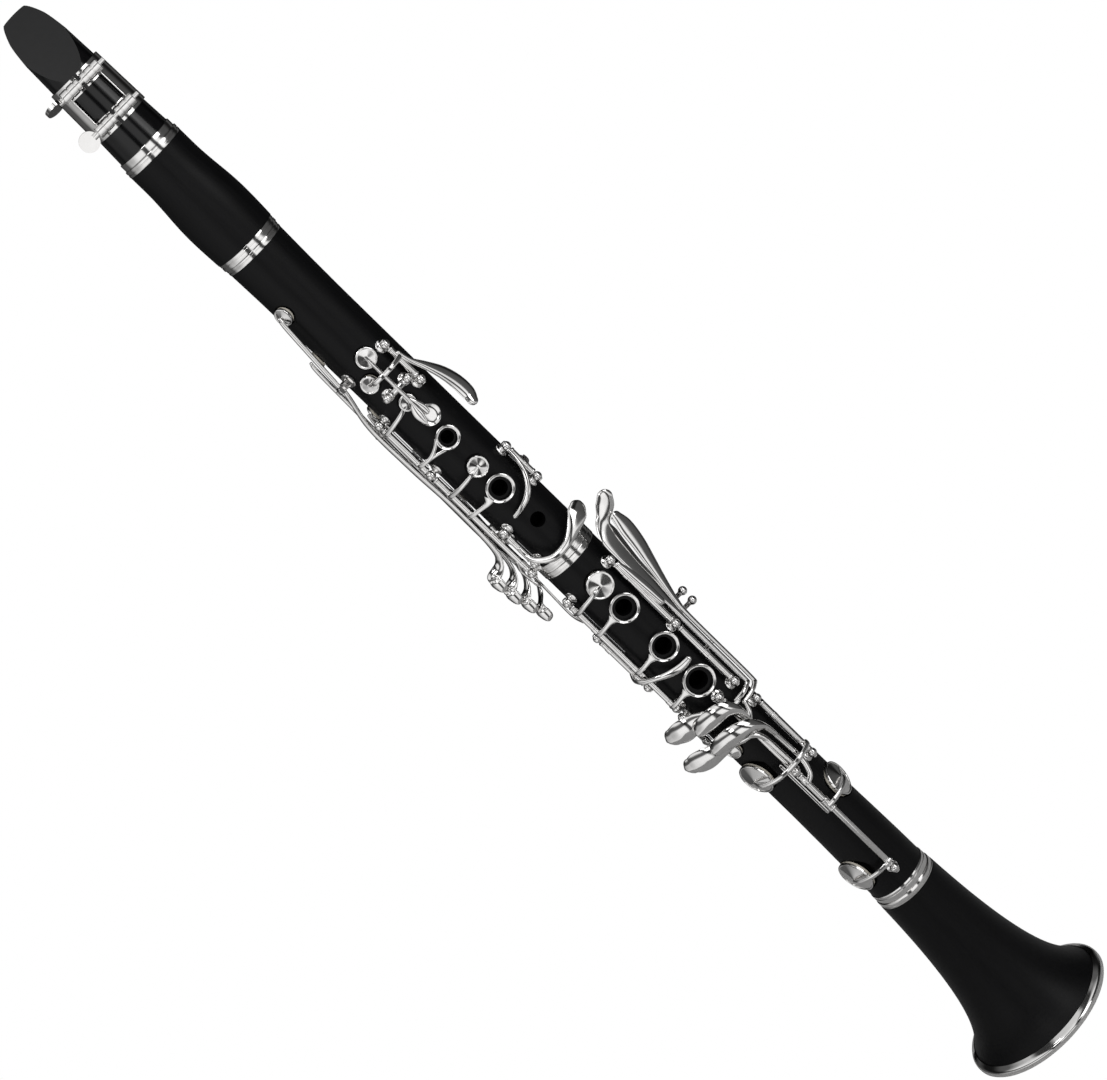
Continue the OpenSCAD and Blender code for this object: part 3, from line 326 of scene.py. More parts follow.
def blade(stations, ends=(True, True), power=2.5, steps=7, ring=18, dish=0.0, crown=0.0):
    """A forged arm or touch: a rounded flat bar swept through its stations.

    A sixth value is the angle that the bar's face looks towards, and a seventh leans it up the bore.
    """
    rows = []
    for st in stations:
        z, a, r, w, t = st[:5]
        p = polar(z, a, r)
        o = outward(st[5] if len(st) > 5 else a)
        rows.append([p.x, p.y, p.z, w, t, o.x, o.y, st[6] if len(st) > 6 else 0.0])
    rows = spline(rows, steps)
    sections = []
    n = len(rows)
    for i, row in enumerate(rows):
        a, b = rows[max(i - 1, 0)], rows[min(i + 1, n - 1)]
        tan = Vector((b[0] - a[0], b[1] - a[1], b[2] - a[2]))
        tan = tan.normalized() if tan.length > 1e-6 else Vector((0, 0, 1))
        sections.append((Vector(row[:3]), tan, max(row[3], 0.05), max(row[4], 0.05),
                         Vector((row[5], row[6], row[7])).normalized()))
    full = []
    caps = 5

    def cap(sec, sign):
        pos, tan, w, t, o = sec
        made = []
        for k in range(1, caps + 1):
            f = k / caps * math.pi / 2
            c, q = max(math.cos(f), 0.02), math.sin(f)
            made.append((pos + tan * sign * q * w * 0.95, tan, w * c, t * max(c ** 0.45, 0.12), o))
        return made
    if ends[0]:
        full += reversed(cap(sections[0], -1))
    full += sections
    if ends[1]:
        full += cap(sections[-1], 1)
    verts, faces = [], []
    for pos, tan, w, t, o in full:
        side = tan.cross(o)
        if side.length < 1e-4:
            side = tan.orthogonal()
        side.normalize()
        nrm = side.cross(tan).normalized()
        for j in range(ring):
            f = 2 * math.pi * j / ring
            cx, sy = math.cos(f), math.sin(f)
            x = math.copysign(abs(cx) ** (2 / power), cx)
            y = math.copysign(abs(sy) ** (2 / power), sy)
            up = y * t / 2
            if y > 0:
                up += crown * t * (1 - x * x) * y - dish * min(w, 3) * (1 - x * x) * y
            verts.append(pos + side * (x * w) + nrm * up)
    m = len(full)
    for i in range(m - 1):
        for j in range(ring):
            k = (j + 1) % ring
            faces.append((i * ring + j, i * ring + k, (i + 1) * ring + k, (i + 1) * ring + j))
    faces.append(tuple(reversed(range(ring))))
    faces.append(tuple(range((m - 1) * ring, m * ring)))
    return verts, faces


def lathe(profile, origin, axis, n=40):
    """A turned piece: profile of (radius, height) along the axis; closed if it loops."""
    axis = axis.normalized()
    x = axis.orthogonal().normalized()
    y = axis.cross(x)
    verts, faces = [], []
    loop = profile[0] == profile[-1]
    pts = profile[:-1] if loop else profile
    for r, h in pts:
        for j in range(n):
            f = 2 * math.pi * j / n
            verts.append(origin + axis * h + (x * math.cos(f) + y * math.sin(f)) * max(r, 0.001))
    m = len(pts)
    for i in range(m if loop else m - 1):
        for j in range(n):
            k = (j + 1) % n
            q = (i + 1) % m
            faces.append((i * n + j, i * n + k, q * n + k, q * n + j))
    if not loop:
        faces.append(tuple(reversed(range(n))))
        faces.append(tuple(range((m - 1) * n, m * n)))
    return verts, faces


def arc_points(r, z0, a0, a1, n):
    """Points of (radius, height) on a circle of radius r round height z0."""
    return [(r * math.cos(math.radians(a0 + (a1 - a0) * i / n)),
             z0 + r * math.sin(math.radians(a0 + (a1 - a0) * i / n))) for i in range(n + 1)]


def make(name, body, parts, mat, replaces=(), sharp=35):
    """Joins parts into one smooth-shaded piece that rides on a body."""
    verts, faces = [], []
    for v, f in parts:
        base = len(verts)
        verts += [p * MM for p in v]
        faces += [tuple(i + base for i in poly) for poly in f]
    mesh = bpy.data.meshes.new(name)
    mesh.from_pydata(verts, [], faces)
    bm = bmesh.new()
    bm.from_mesh(mesh)
    bmesh.ops.remove_doubles(bm, verts=bm.verts, dist=1e-6)
    bmesh.ops.recalc_face_normals(bm, faces=bm.faces)
    bm.to_mesh(mesh)
    bm.free()
    mesh.shade_smooth()
    mesh.set_sharp_from_angle(angle=math.radians(sharp))
    obj = bpy.data.objects.new(name, mesh)
    bpy.context.scene.collection.objects.link(obj)
    mesh.materials.append(MATS[mat])
    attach(obj, body)
    if replaces:
        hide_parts(*replaces)
    return obj


# ---------------------------------------------------------------- keywork shapes
HINGE_R = 18.2  # from the bore's axis to a hinge rod
STACK_R = 19.0  # the same for the upper ring keys


def tube(a, r, z0, z1, collars=(), rr=1.55):
    """A hinge tube with turned collars at its ends and where arms are soldered on."""
    prof = [(rr - 0.6, 0), (rr + 0.12, 0), (rr + 0.22, 0.15), (rr + 0.22, 0.75), (rr + 0.1, 0.95),
            (rr, 1.05)]
    for c in sorted(collars):
        h = c - z0
        prof += [(rr, h - 1.5), (rr + 0.2, h - 1.3), (rr + 0.25, h), (rr + 0.2, h + 1.3), (rr, h + 1.5)]
    le = z1 - z0
    prof += [(rr, le - 1.05), (rr + 0.1, le - 0.95), (rr + 0.22, le - 0.75), (rr + 0.22, le - 0.15),
             (rr + 0.12, le), (rr - 0.6, le)]
    return lathe(prof, polar(z0, a, r), Vector((0, 0, 1)), 28)


def cup(hole, base, body_r=BODY_R, h=1.2, tip=0.9):
    """A key cup: rolled lip, shallow cone and a rounded point."""
    z, a, hr, pr, lift = hole
    seat = math.sqrt(body_r ** 2 - (hr + 0.9) ** 2) - 0.1
    r0 = seat + (lift if lift else 0.15) + 1.1
    prof = [(pr - 0.55, -0.05), (pr - 0.1, -0.1), (pr + 0.1, 0.05), (pr + 0.14, h * 0.6),
            (pr + 0.05, h * 0.9),
            (pr - 0.2, h * 1.08), (pr - 0.5, h * 1.1), (pr - 0.72, h * 0.98), (pr - 0.78, h * 0.84),
            (pr - 0.9, h * 0.84),
            (pr - 0.95, h * 0.85), (1.15, h * 0.96 + tip * 0.9), (0.95, h + tip * 0.92),
            (0.3, h * 1.05 + tip), (0.0, h * 1.05 + tip)]
    return lathe(prof, polar(base + z, a, r0), outward(a), 48)


def finger_ring(hole, base, bottom=16.4, t=1.3, w=1.55, gap=0.35):
    """A ring with a rolled outer bead, a hollowed bevel and a fine inner lip."""
    z, a, hr, cr = hole
    ri = cr + gap
    ro = ri + w
    prof = [(ri + 0.1, 0), (ro - 0.3, 0), (ro - 0.05, 0.2), (ro, 0.5), (ro - 0.02, t * 0.7),
            (ro - 0.16, t * 0.92),
            (ro - 0.38, t), (ro - 0.6, t * 0.93), (ri + 0.62, t * 0.72), (ri + 0.42, t * 0.68),
            (ri + 0.26, t * 0.72),
            (ri + 0.1, t * 0.68), (ri, t * 0.52), (ri, 0.15), (ri + 0.1, 0)]
    return lathe(prof, polar(base + z, a, bottom), outward(a), 64)


def post(a, r, z, ball=2.3, body_r=BODY_R):
    """A turned post: flange, waisted stem and ball head."""
    prof = [(0.4, -0.1), (3.0, -0.1), (3.05, 0.35), (2.75, 0.7), (1.95, 0.95), (1.45, 1.35), (1.2, 1.9)]
    h = r - body_r
    neck = h - ball * 0.9
    if neck > 2.2:
        prof += [(1.15, neck - 0.3), (1.3, neck)]
    start = -math.degrees(math.acos(min(1.3 / ball, 1.0)))
    prof += arc_points(ball, h, start, 88, 12)
    prof.append((0.0, h + ball))
    return lathe(prof, polar(z, a, body_r), outward(a), 32)


def screw_end(a, r, z, sign):
    """The end of a pivot screw on a post's ball: a round head with a small recess in its centre."""
    o = polar(z + sign * 1.75, a, r)
    d = Vector((0, 0, sign))
    return lathe([(0.2, 0), (1.25, 0), (1.25, 0.45), (1.1, 0.62), (0.15, 0.62), (0.12, 0.4), (0, 0.4)],
                 o, d, 20)


def saddle(z, a, r, half, base_r=BODY_R):
    """Two rounded cheeks on a foot, holding a cross rod."""
    parts = [lathe([(0.3, -0.1), (half + 1.1, -0.1), (half + 1.15, 0.4), (half + 0.8, 0.8), (0.3, 0.85)],
                   polar(z, a, base_r), outward(a), 28)]
    for s in (-1, 1):
        o = polar(z, a, r) + tangent(a) * s * (half - 0.55)
        parts.append(lathe([(0.2, -0.55), (1.5, -0.55), (1.65, -0.35), (1.65, 0.35), (1.5, 0.55),
                            (0.2, 0.55)],
                           o, tangent(a) * s, 24))
        foot = polar(z, a, base_r) + tangent(a) * s * (half - 0.55)
        v = []
        for hgt in (0.0, r - base_r):
            for dx, dz in ((-0.5, -1.6), (0.5, -1.6), (0.5, 1.6), (-0.5, 1.6)):
                v.append(foot + outward(a) * hgt + tangent(a) * dx + Vector((0, 0, dz)))
        parts.append((v, [(0, 1, 2, 3), (7, 6, 5, 4), (0, 4, 5, 1), (1, 5, 6, 2), (2, 6, 7, 3),
                          (3, 7, 4, 0)]))
    return parts


def cross_tube(z, a, r, half, rr=1.55):
    o = polar(z, a, r) - tangent(a) * half
    le = 2 * half
    return lathe([(0.9, 0), (rr, 0), (rr + 0.15, 0.3), (rr, 0.6), (rr, le - 0.6), (rr + 0.15, le - 0.3),
                  (rr, le),
                  (0.9, le)], o, tangent(a), 24)


# tone holes: height above the shoulder, angle, hole radius, pad radius, lift
A_HOLE = (129.7, 0, 2.2, 4.85, 0)
GS_HOLE = (120, -27, 2.2, 4.3, 0)
REG_HOLE = (157, 180, 1.6, 3.6, 0)
R1P_HOLE = (102.9, -4.5, 2.2, 3.9, 1.1)
R2P_HOLE = (60.2, 0, 2.6, 4.9, 1.2)
SLIVER_HOLE = (44, 94, 2, 3.6, 0)
CS_HOLE = (25, -84, 2.2, 3.7, 0)
SIDE_HOLES = ((167.5, -50, 2.2, 4.4, 0), (142, -91, 2.2, 4.2, 0), (106, -110, 2.4, 4.2, 0),
              (51, -123, 2.6, 4.4, 0))
LRP_HOLE = (213.3, 0, 3.6, 6.5, 1.2)
FORK_HOLE = (185, -112, 3, 4.8, 0)
AF_HOLE = (110, -50, 2.6, 4.4, 0)
F_HOLE = (91.4, -57, 6, 8.8, 2)
FS_HOLE = (61.8, 60, 6, 8.8, 0)
E_HOLE = (20.8, -61.5, 6.2, 9.2, 2)
RING_1 = (79.1, 0, 3.1, 3.9)
RING_2 = (45.9, 0, 3.8, 4.95)
THUMB = (90, 180, 3.4, 4.6)
L_RINGS = ((197.6, 1, 4, 5.35), (171.4, 1, 4.2, 5.35), (147.9, 1, 4.6, 6.1))


def ring_arm(z, axis_a, axis_r, hole, base, z_off=0.0):
    """The arm of a ring: a slim bar that widens where it meets the ring."""
    ro = hole[3] + 1.9
    a_edge = math.degrees(math.asin(min(1, ro / 17.2)))
    sgn = 1 if hole[1] > axis_a else -1
    far = hole[1] - sgn * (a_edge - 2.5)
    mid = hole[1] - sgn * (a_edge + 7)
    return blade([(base + z, axis_a - sgn * 2, axis_r + 1.2, 1.15, 1.3),
                  (base + z, axis_a + sgn * 4, axis_r + 1.25, 1.2, 1.3),
                  (base + z + z_off * 0.3, (axis_a + mid) / 2, 18.5, 1.05, 1.3),
                  (base + z + z_off * 0.8, mid, 17.6, 1.35, 1.25), (base + hole[0], far, 17.6, 2.7, 1.1)],
                  ends=(True, False))


# ---------------------------------------------------------------- upper joint keys
c = cup(REG_HOLE, U0)
make("register_key_plate", "register_key", [
    c, cross_tube(U0 + 134, 180, 17.6, 1.9),
    blade([(U0 + 157, 180, 18.2, 0.9, 1.1), (U0 + 150, 180, 18.6, 1.3, 1.3),
           (U0 + 134, 180, 19.2, 1.9, 1.7),
           (U0 + 122, 180, 19.0, 1.4, 1.3), (U0 + 115, 180, 20.2, 2.4, 1.2),
           (U0 + 109, 180, 20.9, 3.6, 1.1),
           (U0 + 104, 180, 20.3, 3.4, 1.1)], crown=0.25)], "silver_plate", ["register_key"])

make("thumb_ring_key_plate", "thumb_ring_key", [
    tube(138, HINGE_R, U0 + 80.6, U0 + 99.4, [U0 + 90]), finger_ring(THUMB, U0),
    ring_arm(90, 138, HINGE_R, THUMB, U0)], "silver_plate", ["thumb_ring_key"])

c = cup(A_HOLE, U0, h=1.0, tip=0.35)
dish = [(0, 0.1), (2.6, 0.15), (3.9, 0.4), (4.5, 0.85), (4.75, 1.0), (5.0, 0.95), (5.1, 0.7), (5.0, 0.35),
        (4.4, -0.05), (3.6, -0.3), (0, -0.45)]
make("a_key_plate", "a_key", [
    c, cross_tube(U0 + 110.8, 0, 18.3, 4.2),
    blade([(U0 + 130.5, 0, 18.0, 0.7, 1.0), (U0 + 126, 0, 18.7, 0.85, 1.2), (U0 + 111, 0, 19.3, 1.0, 1.3),
           (U0 + 104, 0, 19.6, 1.0, 1.2), (U0 + 100.4, -2, 20.1, 1.7, 1.1),
           (U0 + 96.6, -4.4, 20.4, 2.2, 1.0),
           (U0 + 93, -5.2, 20.3, 1.5, 0.8), (U0 + 90.6, -5, 20.2, 0.5, 0.5)], power=2.0, crown=0.35),
    blade([(U0 + 105, 0, 19.4, 0.9, 1.0), (U0 + 101, 3.4, 19.6, 1.4, 1.0), (U0 + 97.4, 5, 19.2, 1.9, 0.9),
           (U0 + 94.6, 5.4, 18.9, 1.6, 0.7)], power=2.0, crown=0.3),
    lathe(dish, polar(U0 + 92.4, 5.2, 18.5), outward(5.2), 48)], "silver_plate", ["a_key"])

c = cup(GS_HOLE, U0)
make("g_sharp_key_plate", "g_sharp_key", [
    c, tube(33.5, HINGE_R, U0 + 108.3, U0 + 125.3, [U0 + 119.8]),
    blade([(U0 + 119.8, 37, 19.2, 1.2, 1.4), (U0 + 119.9, 30, 20.4, 1.2, 1.4),
           (U0 + 119.9, 14, 22.1, 1.15, 1.4),
           (U0 + 120, 0, 22.3, 1.2, 1.4), (U0 + 120, -12, 21.4, 1.1, 1.3), (U0 + 120, -21, 18.8, 0.95, 1.2),
           (U0 + 120, -27, 17.3, 0.8, 1.0)], power=2.2),
    blade([(U0 + 121, 36, 19.4, 1.2, 1.2), (U0 + 115, 40, 19.9, 1.3, 1.2),
           (U0 + 108, 50, 20.8, 2.2, 1.3, 42),
           (U0 + 100, 61, 21.6, 3.3, 1.5, 38), (U0 + 92, 69, 21.9, 3.9, 1.6, 34),
           (U0 + 85, 71, 21.8, 3.9, 1.6, 32),
           (U0 + 81.4, 67, 21.4, 3.0, 1.5, 32)], crown=0.5)],
     "silver_plate", ["g_sharp_key"])

c = cup(R1P_HOLE, U0, h=1.0, tip=0.1)
make("ring_1_key_plate", "ring_1_key", [
    c, tube(-66.3, STACK_R, U0 + 73.1, U0 + 100.3, [U0 + 78, U0 + 98]),
    finger_ring(RING_1, U0),
    blade([(U0 + 97.6, -69, 20.1, 1.1, 1.3), (U0 + 98.3, -60, 20.6, 1.1, 1.3),
           (U0 + 99.6, -42, 19.0, 1.0, 1.2),
           (U0 + 101, -24, 17.7, 1.0, 1.0), (U0 + 102.6, -8, 17.1, 0.9, 0.8)], power=2.2),
    blade([(U0 + 77.2, -68, 20.1, 1.1, 1.3), (U0 + 77.4, -58, 20.4, 1.1, 1.3),
           (U0 + 77.6, -40, 18.8, 0.9, 1.2),
           (U0 + 79.4, -26, 17.6, 0.85, 1.1), (U0 + 82, -15, 17.1, 0.8, 1.0)], power=2.2),
    blade([(U0 + 77.4, -44, 19.1, 0.9, 1.2), (U0 + 76.8, -30, 17.9, 0.8, 1.1),
           (U0 + 75.8, -16, 17.2, 0.8, 1.0)],
          power=2.2)], "silver_plate", ["ring_1_key"])

c = cup(R2P_HOLE, U0)
make("ring_2_key_plate", "ring_2_key", [
    c, tube(-66.3, STACK_R, U0 + 8.1, U0 + 67.9, [U0 + 12, U0 + 45, U0 + 58.5]),
    finger_ring(RING_2, U0), ring_arm(44.6, -66.3, STACK_R, RING_2, U0),
    blade([(U0 + 57.6, -69, 20.1, 1.1, 1.3), (U0 + 57.8, -60, 20.6, 1.15, 1.4),
           (U0 + 58.5, -38, 19.6, 1.05, 1.4),
           (U0 + 59.6, -16, 18.9, 0.95, 1.3), (U0 + 60.2, -2, 18.5, 0.7, 0.9)], power=2.2),
    blade([(U0 + 14, -68, 20.3, 1.2, 1.2), (U0 + 10, -76, 20.8, 1.2, 1.2), (U0 + 5, -79, 20.7, 1.3, 1.2),
           (U0 - 1.5, -77, 20.2, 1.7, 1.1)])], "silver_plate", ["ring_2_key"])

c = cup(SLIVER_HOLE, U0)
make("sliver_key_plate", "sliver_key", [
    c, tube(57.5, HINGE_R, U0 + 38.5, U0 + 53.1, [U0 + 44]),
    blade([(U0 + 54, 53, 18.4, 0.9, 1.0), (U0 + 49, 49, 19.0, 1.2, 1.3), (U0 + 43, 43, 19.1, 1.4, 1.5),
           (U0 + 38, 32, 18.8, 1.5, 1.6), (U0 + 34.6, 18, 18.3, 1.55, 1.6), (U0 + 32.8, 2, 17.7, 1.35, 1.4),
           (U0 + 32.0, -14, 17.4, 1.1, 1.2)], power=2.1, crown=0.3),
    blade([(U0 + 44, 57, 19.4, 1.2, 1.2), (U0 + 44, 70, 18.9, 1.3, 1.2), (U0 + 44, 88, 18.0, 1.2, 1.1)])],
     "silver_plate", ["sliver_key"])

c = cup(CS_HOLE, U0, h=0.9, tip=0.2)
make("c_sharp_key_plate", "c_sharp_key", [
    c, tube(-47, HINGE_R, U0 + 11.6, U0 + 26.4, [U0 + 24.5]),
    blade([(U0 + 25, -46, 16.3, 1.2, 0.8), (U0 + 25, -62, 16.1, 1.2, 0.7), (U0 + 25, -80, 16.7, 1.2, 0.7)],
          power=3),
    blade([(U0 + 19, -45, 19.2, 1.1, 1.2), (U0 + 15, -43, 20, 1.3, 1.4), (U0 + 11, -36, 20.5, 1.5, 1.7),
           (U0 + 7, -20, 20.0, 1.9, 1.9), (U0 + 6.2, -4, 19.6, 2.1, 2.0), (U0 + 6.9, 12, 19.5, 2.3, 2.0, 8),
           (U0 + 8.8, 28, 19.9, 3.1, 1.9, 15), (U0 + 10.4, 40, 20.6, 4.2, 1.8, 18),
           (U0 + 11.8, 49, 21.4, 4.8, 1.7, 18),
           (U0 + 12.7, 55, 21.9, 4.2, 1.5, 18)], power=2.2, crown=0.35)], "silver_plate", ["c_sharp_key"])

SIDE_PIVOTS = ((126.9, -58, 18.6, 2.6), (98, -97, 18.6, 2.6), (79, -110, 18.6, 2.6), (29, -123, 18.6, 2.6))
LANES = (-83.5, -97, -110, -123)
TOUCHES = ((12, -86, 31.4), (2.2, -90, 30.4), (-6.4, -94, 28.6), (-14.6, -98, 26.8))
for i in range(4):
    hole, piv, lane, tch = SIDE_HOLES[i], SIDE_PIVOTS[i], LANES[i], TOUCHES[i]
    c = cup(hole, U0)
    turn = 104 if i == 0 else tch[0] + 34
    path = [(U0 + hole[0] + 0.5, hole[1], 18.6, 1.0, 1.2),
            (U0 + hole[0] - 6, hole[1] + (piv[1] - hole[1]) * 0.15, 19.2, 1.3, 1.6),
            (U0 + piv[0] + 3, piv[1], 20.3, 1.25, 1.5), (U0 + piv[0] - 3, piv[1], 20.4, 1.25, 1.5),
            (U0 + turn, lane, 21.2, 1.8, 1.7)]
    z_low = tch[0] + 15
    k = max(1, int((turn - z_low) / 22))
    for j in range(1, k + 1):
        zz = turn + (z_low - turn) * j / k
        path.append((U0 + zz, lane + 0.8 * math.sin(j * 2.1 + i), 21.2 + 0.5 * math.sin(j * 2.4 + i),
                     2.0, 1.5, lane + 18))
    path += [(U0 + tch[0] + 6.4, (lane + tch[1]) / 2, 21.2 + (tch[2] - 21.2) * 0.33, 2.6, 1.3, -62),
             (U0 + tch[0] + 3.4, tch[1], tch[2] - 0.3, 3.2, 1.4, -50)]
    knob = [(U0 + tch[0] + 2.6, tch[1], tch[2] - 0.2, 2.8, 1.8, -42), (U0 + tch[0] + 0.9, tch[1],
                                        tch[2] + 0.3, 3.7, 2.5, -42),
            (U0 + tch[0] - 1.4, tch[1], tch[2] + 0.3, 3.5, 2.4, -42)]
    make("side_key_%d_plate" % (i + 1), "side_key_%d" % (i + 1), [
        c, cross_tube(U0 + piv[0], piv[1], piv[2], piv[3] - 1.3), blade(path, crown=0.3),
        cross_tube(U0 + piv[0], piv[1], 20.9, 1.7, 1.9),
        blade(knob, crown=0.5, power=2.0, ring=24)], "silver_plate", ["side_key_%d" % (i + 1)])

# ---------------------------------------------------------------- lower joint keys
c = cup(LRP_HOLE, L0)
parts = [c, tube(-61.5, HINGE_R, L0 + 146.2, L0 + 213.6, [L0 + h[0] for h in L_RINGS] + [L0 + 210]),
         blade([(L0 + 209.6, -64, 19.3, 1.1, 1.3), (L0 + 209.8, -54, 19.9, 1.2, 1.4),
                (L0 + 211.4, -36, 19.8, 1.1, 1.4),
                (L0 + 212.8, -14, 19.0, 1.0, 1.3), (L0 + 213.3, -2, 18.2, 0.75, 0.9)], power=2.2),
         blade([(L0 + 205, -64, 19.3, 1.2, 1.1), (L0 + 209.5, -76, 19.4, 1.2, 1.0),
                (L0 + 222, -78, 18.9, 1.3, 1.0),
                (L0 + 233.4, -77, 18.5, 1.5, 1.0)])]
for h in L_RINGS:
    parts += [finger_ring(h, L0), ring_arm(h[0] - 2.2, -61.5, HINGE_R, h, L0, 2.2)]
make("lower_ring_key_plate", "lower_ring_key", parts, "silver_plate", ["lower_ring_key"])

c = cup(FORK_HOLE, L0)
make("fork_key_plate", "fork_key", [
    c, tube(-86, HINGE_R, L0 + 160.6, L0 + 189.4, [L0 + 167, L0 + 184]),
    blade([(L0 + 168, -87, 19.2, 1.2, 1.3), (L0 + 166.5, -72, 21.2, 1.3, 1.4),
           (L0 + 165, -58, 21.6, 1.3, 1.4),
           (L0 + 162.8, -40, 19.9, 1.4, 1.5), (L0 + 160.4, -22, 18.7, 1.8, 1.5),
           (L0 + 159.0, -4, 18.0, 2.0, 1.5),
           (L0 + 158.9, 12, 17.9, 1.6, 1.3)], power=2.2, crown=0.3),
    blade([(L0 + 184, -88, 19.3, 1.2, 1.2), (L0 + 184.4, -100, 18.8, 1.2, 1.2),
           (L0 + 185, -110, 18.2, 1.0, 1.0)])],
     "silver_plate", ["fork_key"])

make("lh_f_sharp_lever_plate", "lh_f_sharp_lever", [
    tube(39, HINGE_R, L0 + 176.8, L0 + 214.7, [L0 + 207]),
    blade([(L0 + 238.2, 74, 31.2, 3.9, 1.6, 12), (L0 + 235.4, 72.5, 28.6, 4.5, 1.6, 12),
           (L0 + 232.4, 68.5, 25.0, 3.5, 1.6, 14),
           (L0 + 229.6, 63.5, 22.6, 4.0, 1.5, 22), (L0 + 224, 59.5, 21.8, 5.7, 1.4, 34),
           (L0 + 216.5, 58, 21.4, 5.6, 1.4, 41),
           (L0 + 207, 56.5, 21.2, 5.0, 1.3, 47), (L0 + 196, 56, 21.0, 4.3, 1.3, 52),
           (L0 + 184, 54.5, 20.4, 2.9, 1.3, 55),
           (L0 + 172, 52.5, 19.9, 1.6, 1.4), (L0 + 133, 52, 19.8, 1.3, 1.3),
           (L0 + 129.4, 48, 19.9, 1.3, 1.3),
           (L0 + 128.5, 34, 19.4, 1.2, 1.3), (L0 + 128.5, 18, 18.2, 1.2, 1.2)], crown=0.35),
    blade([(L0 + 213, 40, 19.6, 1.8, 1.2), (L0 + 207, 43, 20.1, 2.9, 1.4), (L0 + 197, 45, 20.3, 3.1, 1.5),
           (L0 + 187, 46, 20.0, 2.4, 1.4)], crown=0.5)], "silver_plate", ["lh_f_sharp_lever"])

make("lh_e_lever_plate", "lh_e_lever", [
    tube(39, HINGE_R, L0 + 137.1, L0 + 171.6, [L0 + 154]),
    blade([(L0 + 228, 71, 28.8, 3.0, 1.5, 28), (L0 + 221.5, 72, 28.4, 4.4, 1.6, 30),
           (L0 + 212, 72, 27.2, 4.3, 1.6, 34),
           (L0 + 202, 70.5, 25.2, 3.7, 1.6, 40), (L0 + 192, 68.5, 23.2, 2.9, 1.5, 46),
           (L0 + 181, 65.5, 21.3, 2.1, 1.4, 54),
           (L0 + 170, 63, 20.5, 1.5, 1.4), (L0 + 130, 63, 20.4, 1.4, 1.3), (L0 + 126, 58, 20.3, 1.3, 1.3),
           (L0 + 125.2, 46, 19.8, 1.2, 1.3), (L0 + 125, 24, 18.5, 1.2, 1.2)], crown=0.35),
    blade([(L0 + 154, 40, 16.4, 1.3, 1.1), (L0 + 154, 50, 16.6, 1.3, 1.1), (L0 + 154, 58, 17.6, 1.2, 1.1),
           (L0 + 154, 63, 19.8, 1.1, 1.1)])], "silver_plate", ["lh_e_lever"])


def paddle(pts, **kw):
    return blade(pts, power=2.1, steps=8, ring=24, crown=0.55, **kw)


c = cup(FS_HOLE, L0, tip=1.5)
make("rh_f_sharp_key_plate", "rh_f_sharp_key", [
    c, tube(3.7, HINGE_R, L0 + 86.2, L0 + 133.1, [L0 + 128.5]),
    paddle([(L0 + 119, 10, 20.6, 1.3, 1.2), (L0 + 123.5, 9.5, 21.4, 1.8, 1.5),
            (L0 + 127.4, 6, 22.8, 2.7, 1.8),
            (L0 + 131, -1, 23.9, 3.9, 2.1), (L0 + 132.7, -10, 24.2, 4.6, 2.3),
            (L0 + 133, -20, 24.4, 4.8, 2.3),
            (L0 + 132.6, -30, 24.6, 4.5, 2.2), (L0 + 131.6, -39, 24.8, 3.5, 1.9)]),
    blade([(L0 + 128.5, 3, 20.2, 1.1, 1.3), (L0 + 128.5, 18, 20.4, 1.1, 1.2)]),
    tube(3.7, HINGE_R, L0 + 57.6, L0 + 64.4, [], 1.95),
    blade([(L0 + 61, 3, 20.6, 1.3, 1.3), (L0 + 61, 14, 20.6, 1.25, 1.4), (L0 + 61, 34, 20.3, 1.2, 1.4),
           (L0 + 61.4, 50, 19.3, 1.0, 1.2), (L0 + 61.8, 58, 18.0, 0.8, 1.0)], power=2.2),
    blade([(L0 + 57.6, -6.4, 16.4, 0.8, 0.8), (L0 + 90, -6.4, 16.4, 0.8, 0.8)], power=4)],
     "silver_plate", ["rh_f_sharp_key"])

c = cup(AF_HOLE, L0)
make("rh_a_flat_key_plate", "rh_a_flat_key", [
    c, tube(-72, HINGE_R, L0 + 117.6, L0 + 134.4, [L0 + 121]),
    paddle([(L0 + 134.2, -32, 18.9, 2.4, 1.4, -24), (L0 + 134.6, -42, 20.6, 4.2, 1.7, -26),
            (L0 + 134.9, -51, 23.4, 5.6, 2.1, -28),
            (L0 + 135.1, -60, 26.0, 5.9, 2.3, -28), (L0 + 135.3, -68.4, 28.3, 4.8, 2.0, -28)]),
    blade([(L0 + 129, -72, 19.4, 1.4, 1.4), (L0 + 131, -71, 22.0, 1.6, 1.4),
           (L0 + 133.5, -67, 25.4, 2.0, 1.4)]),
    blade([(L0 + 121, -72, 19.6, 1.2, 1.2), (L0 + 120, -63, 19.4, 1.2, 1.2),
           (L0 + 116, -57, 18.8, 1.1, 1.1), (L0 + 111.5, -53, 18.1, 1.0, 1.0)])],
     "silver_plate", ["rh_a_flat_key"])

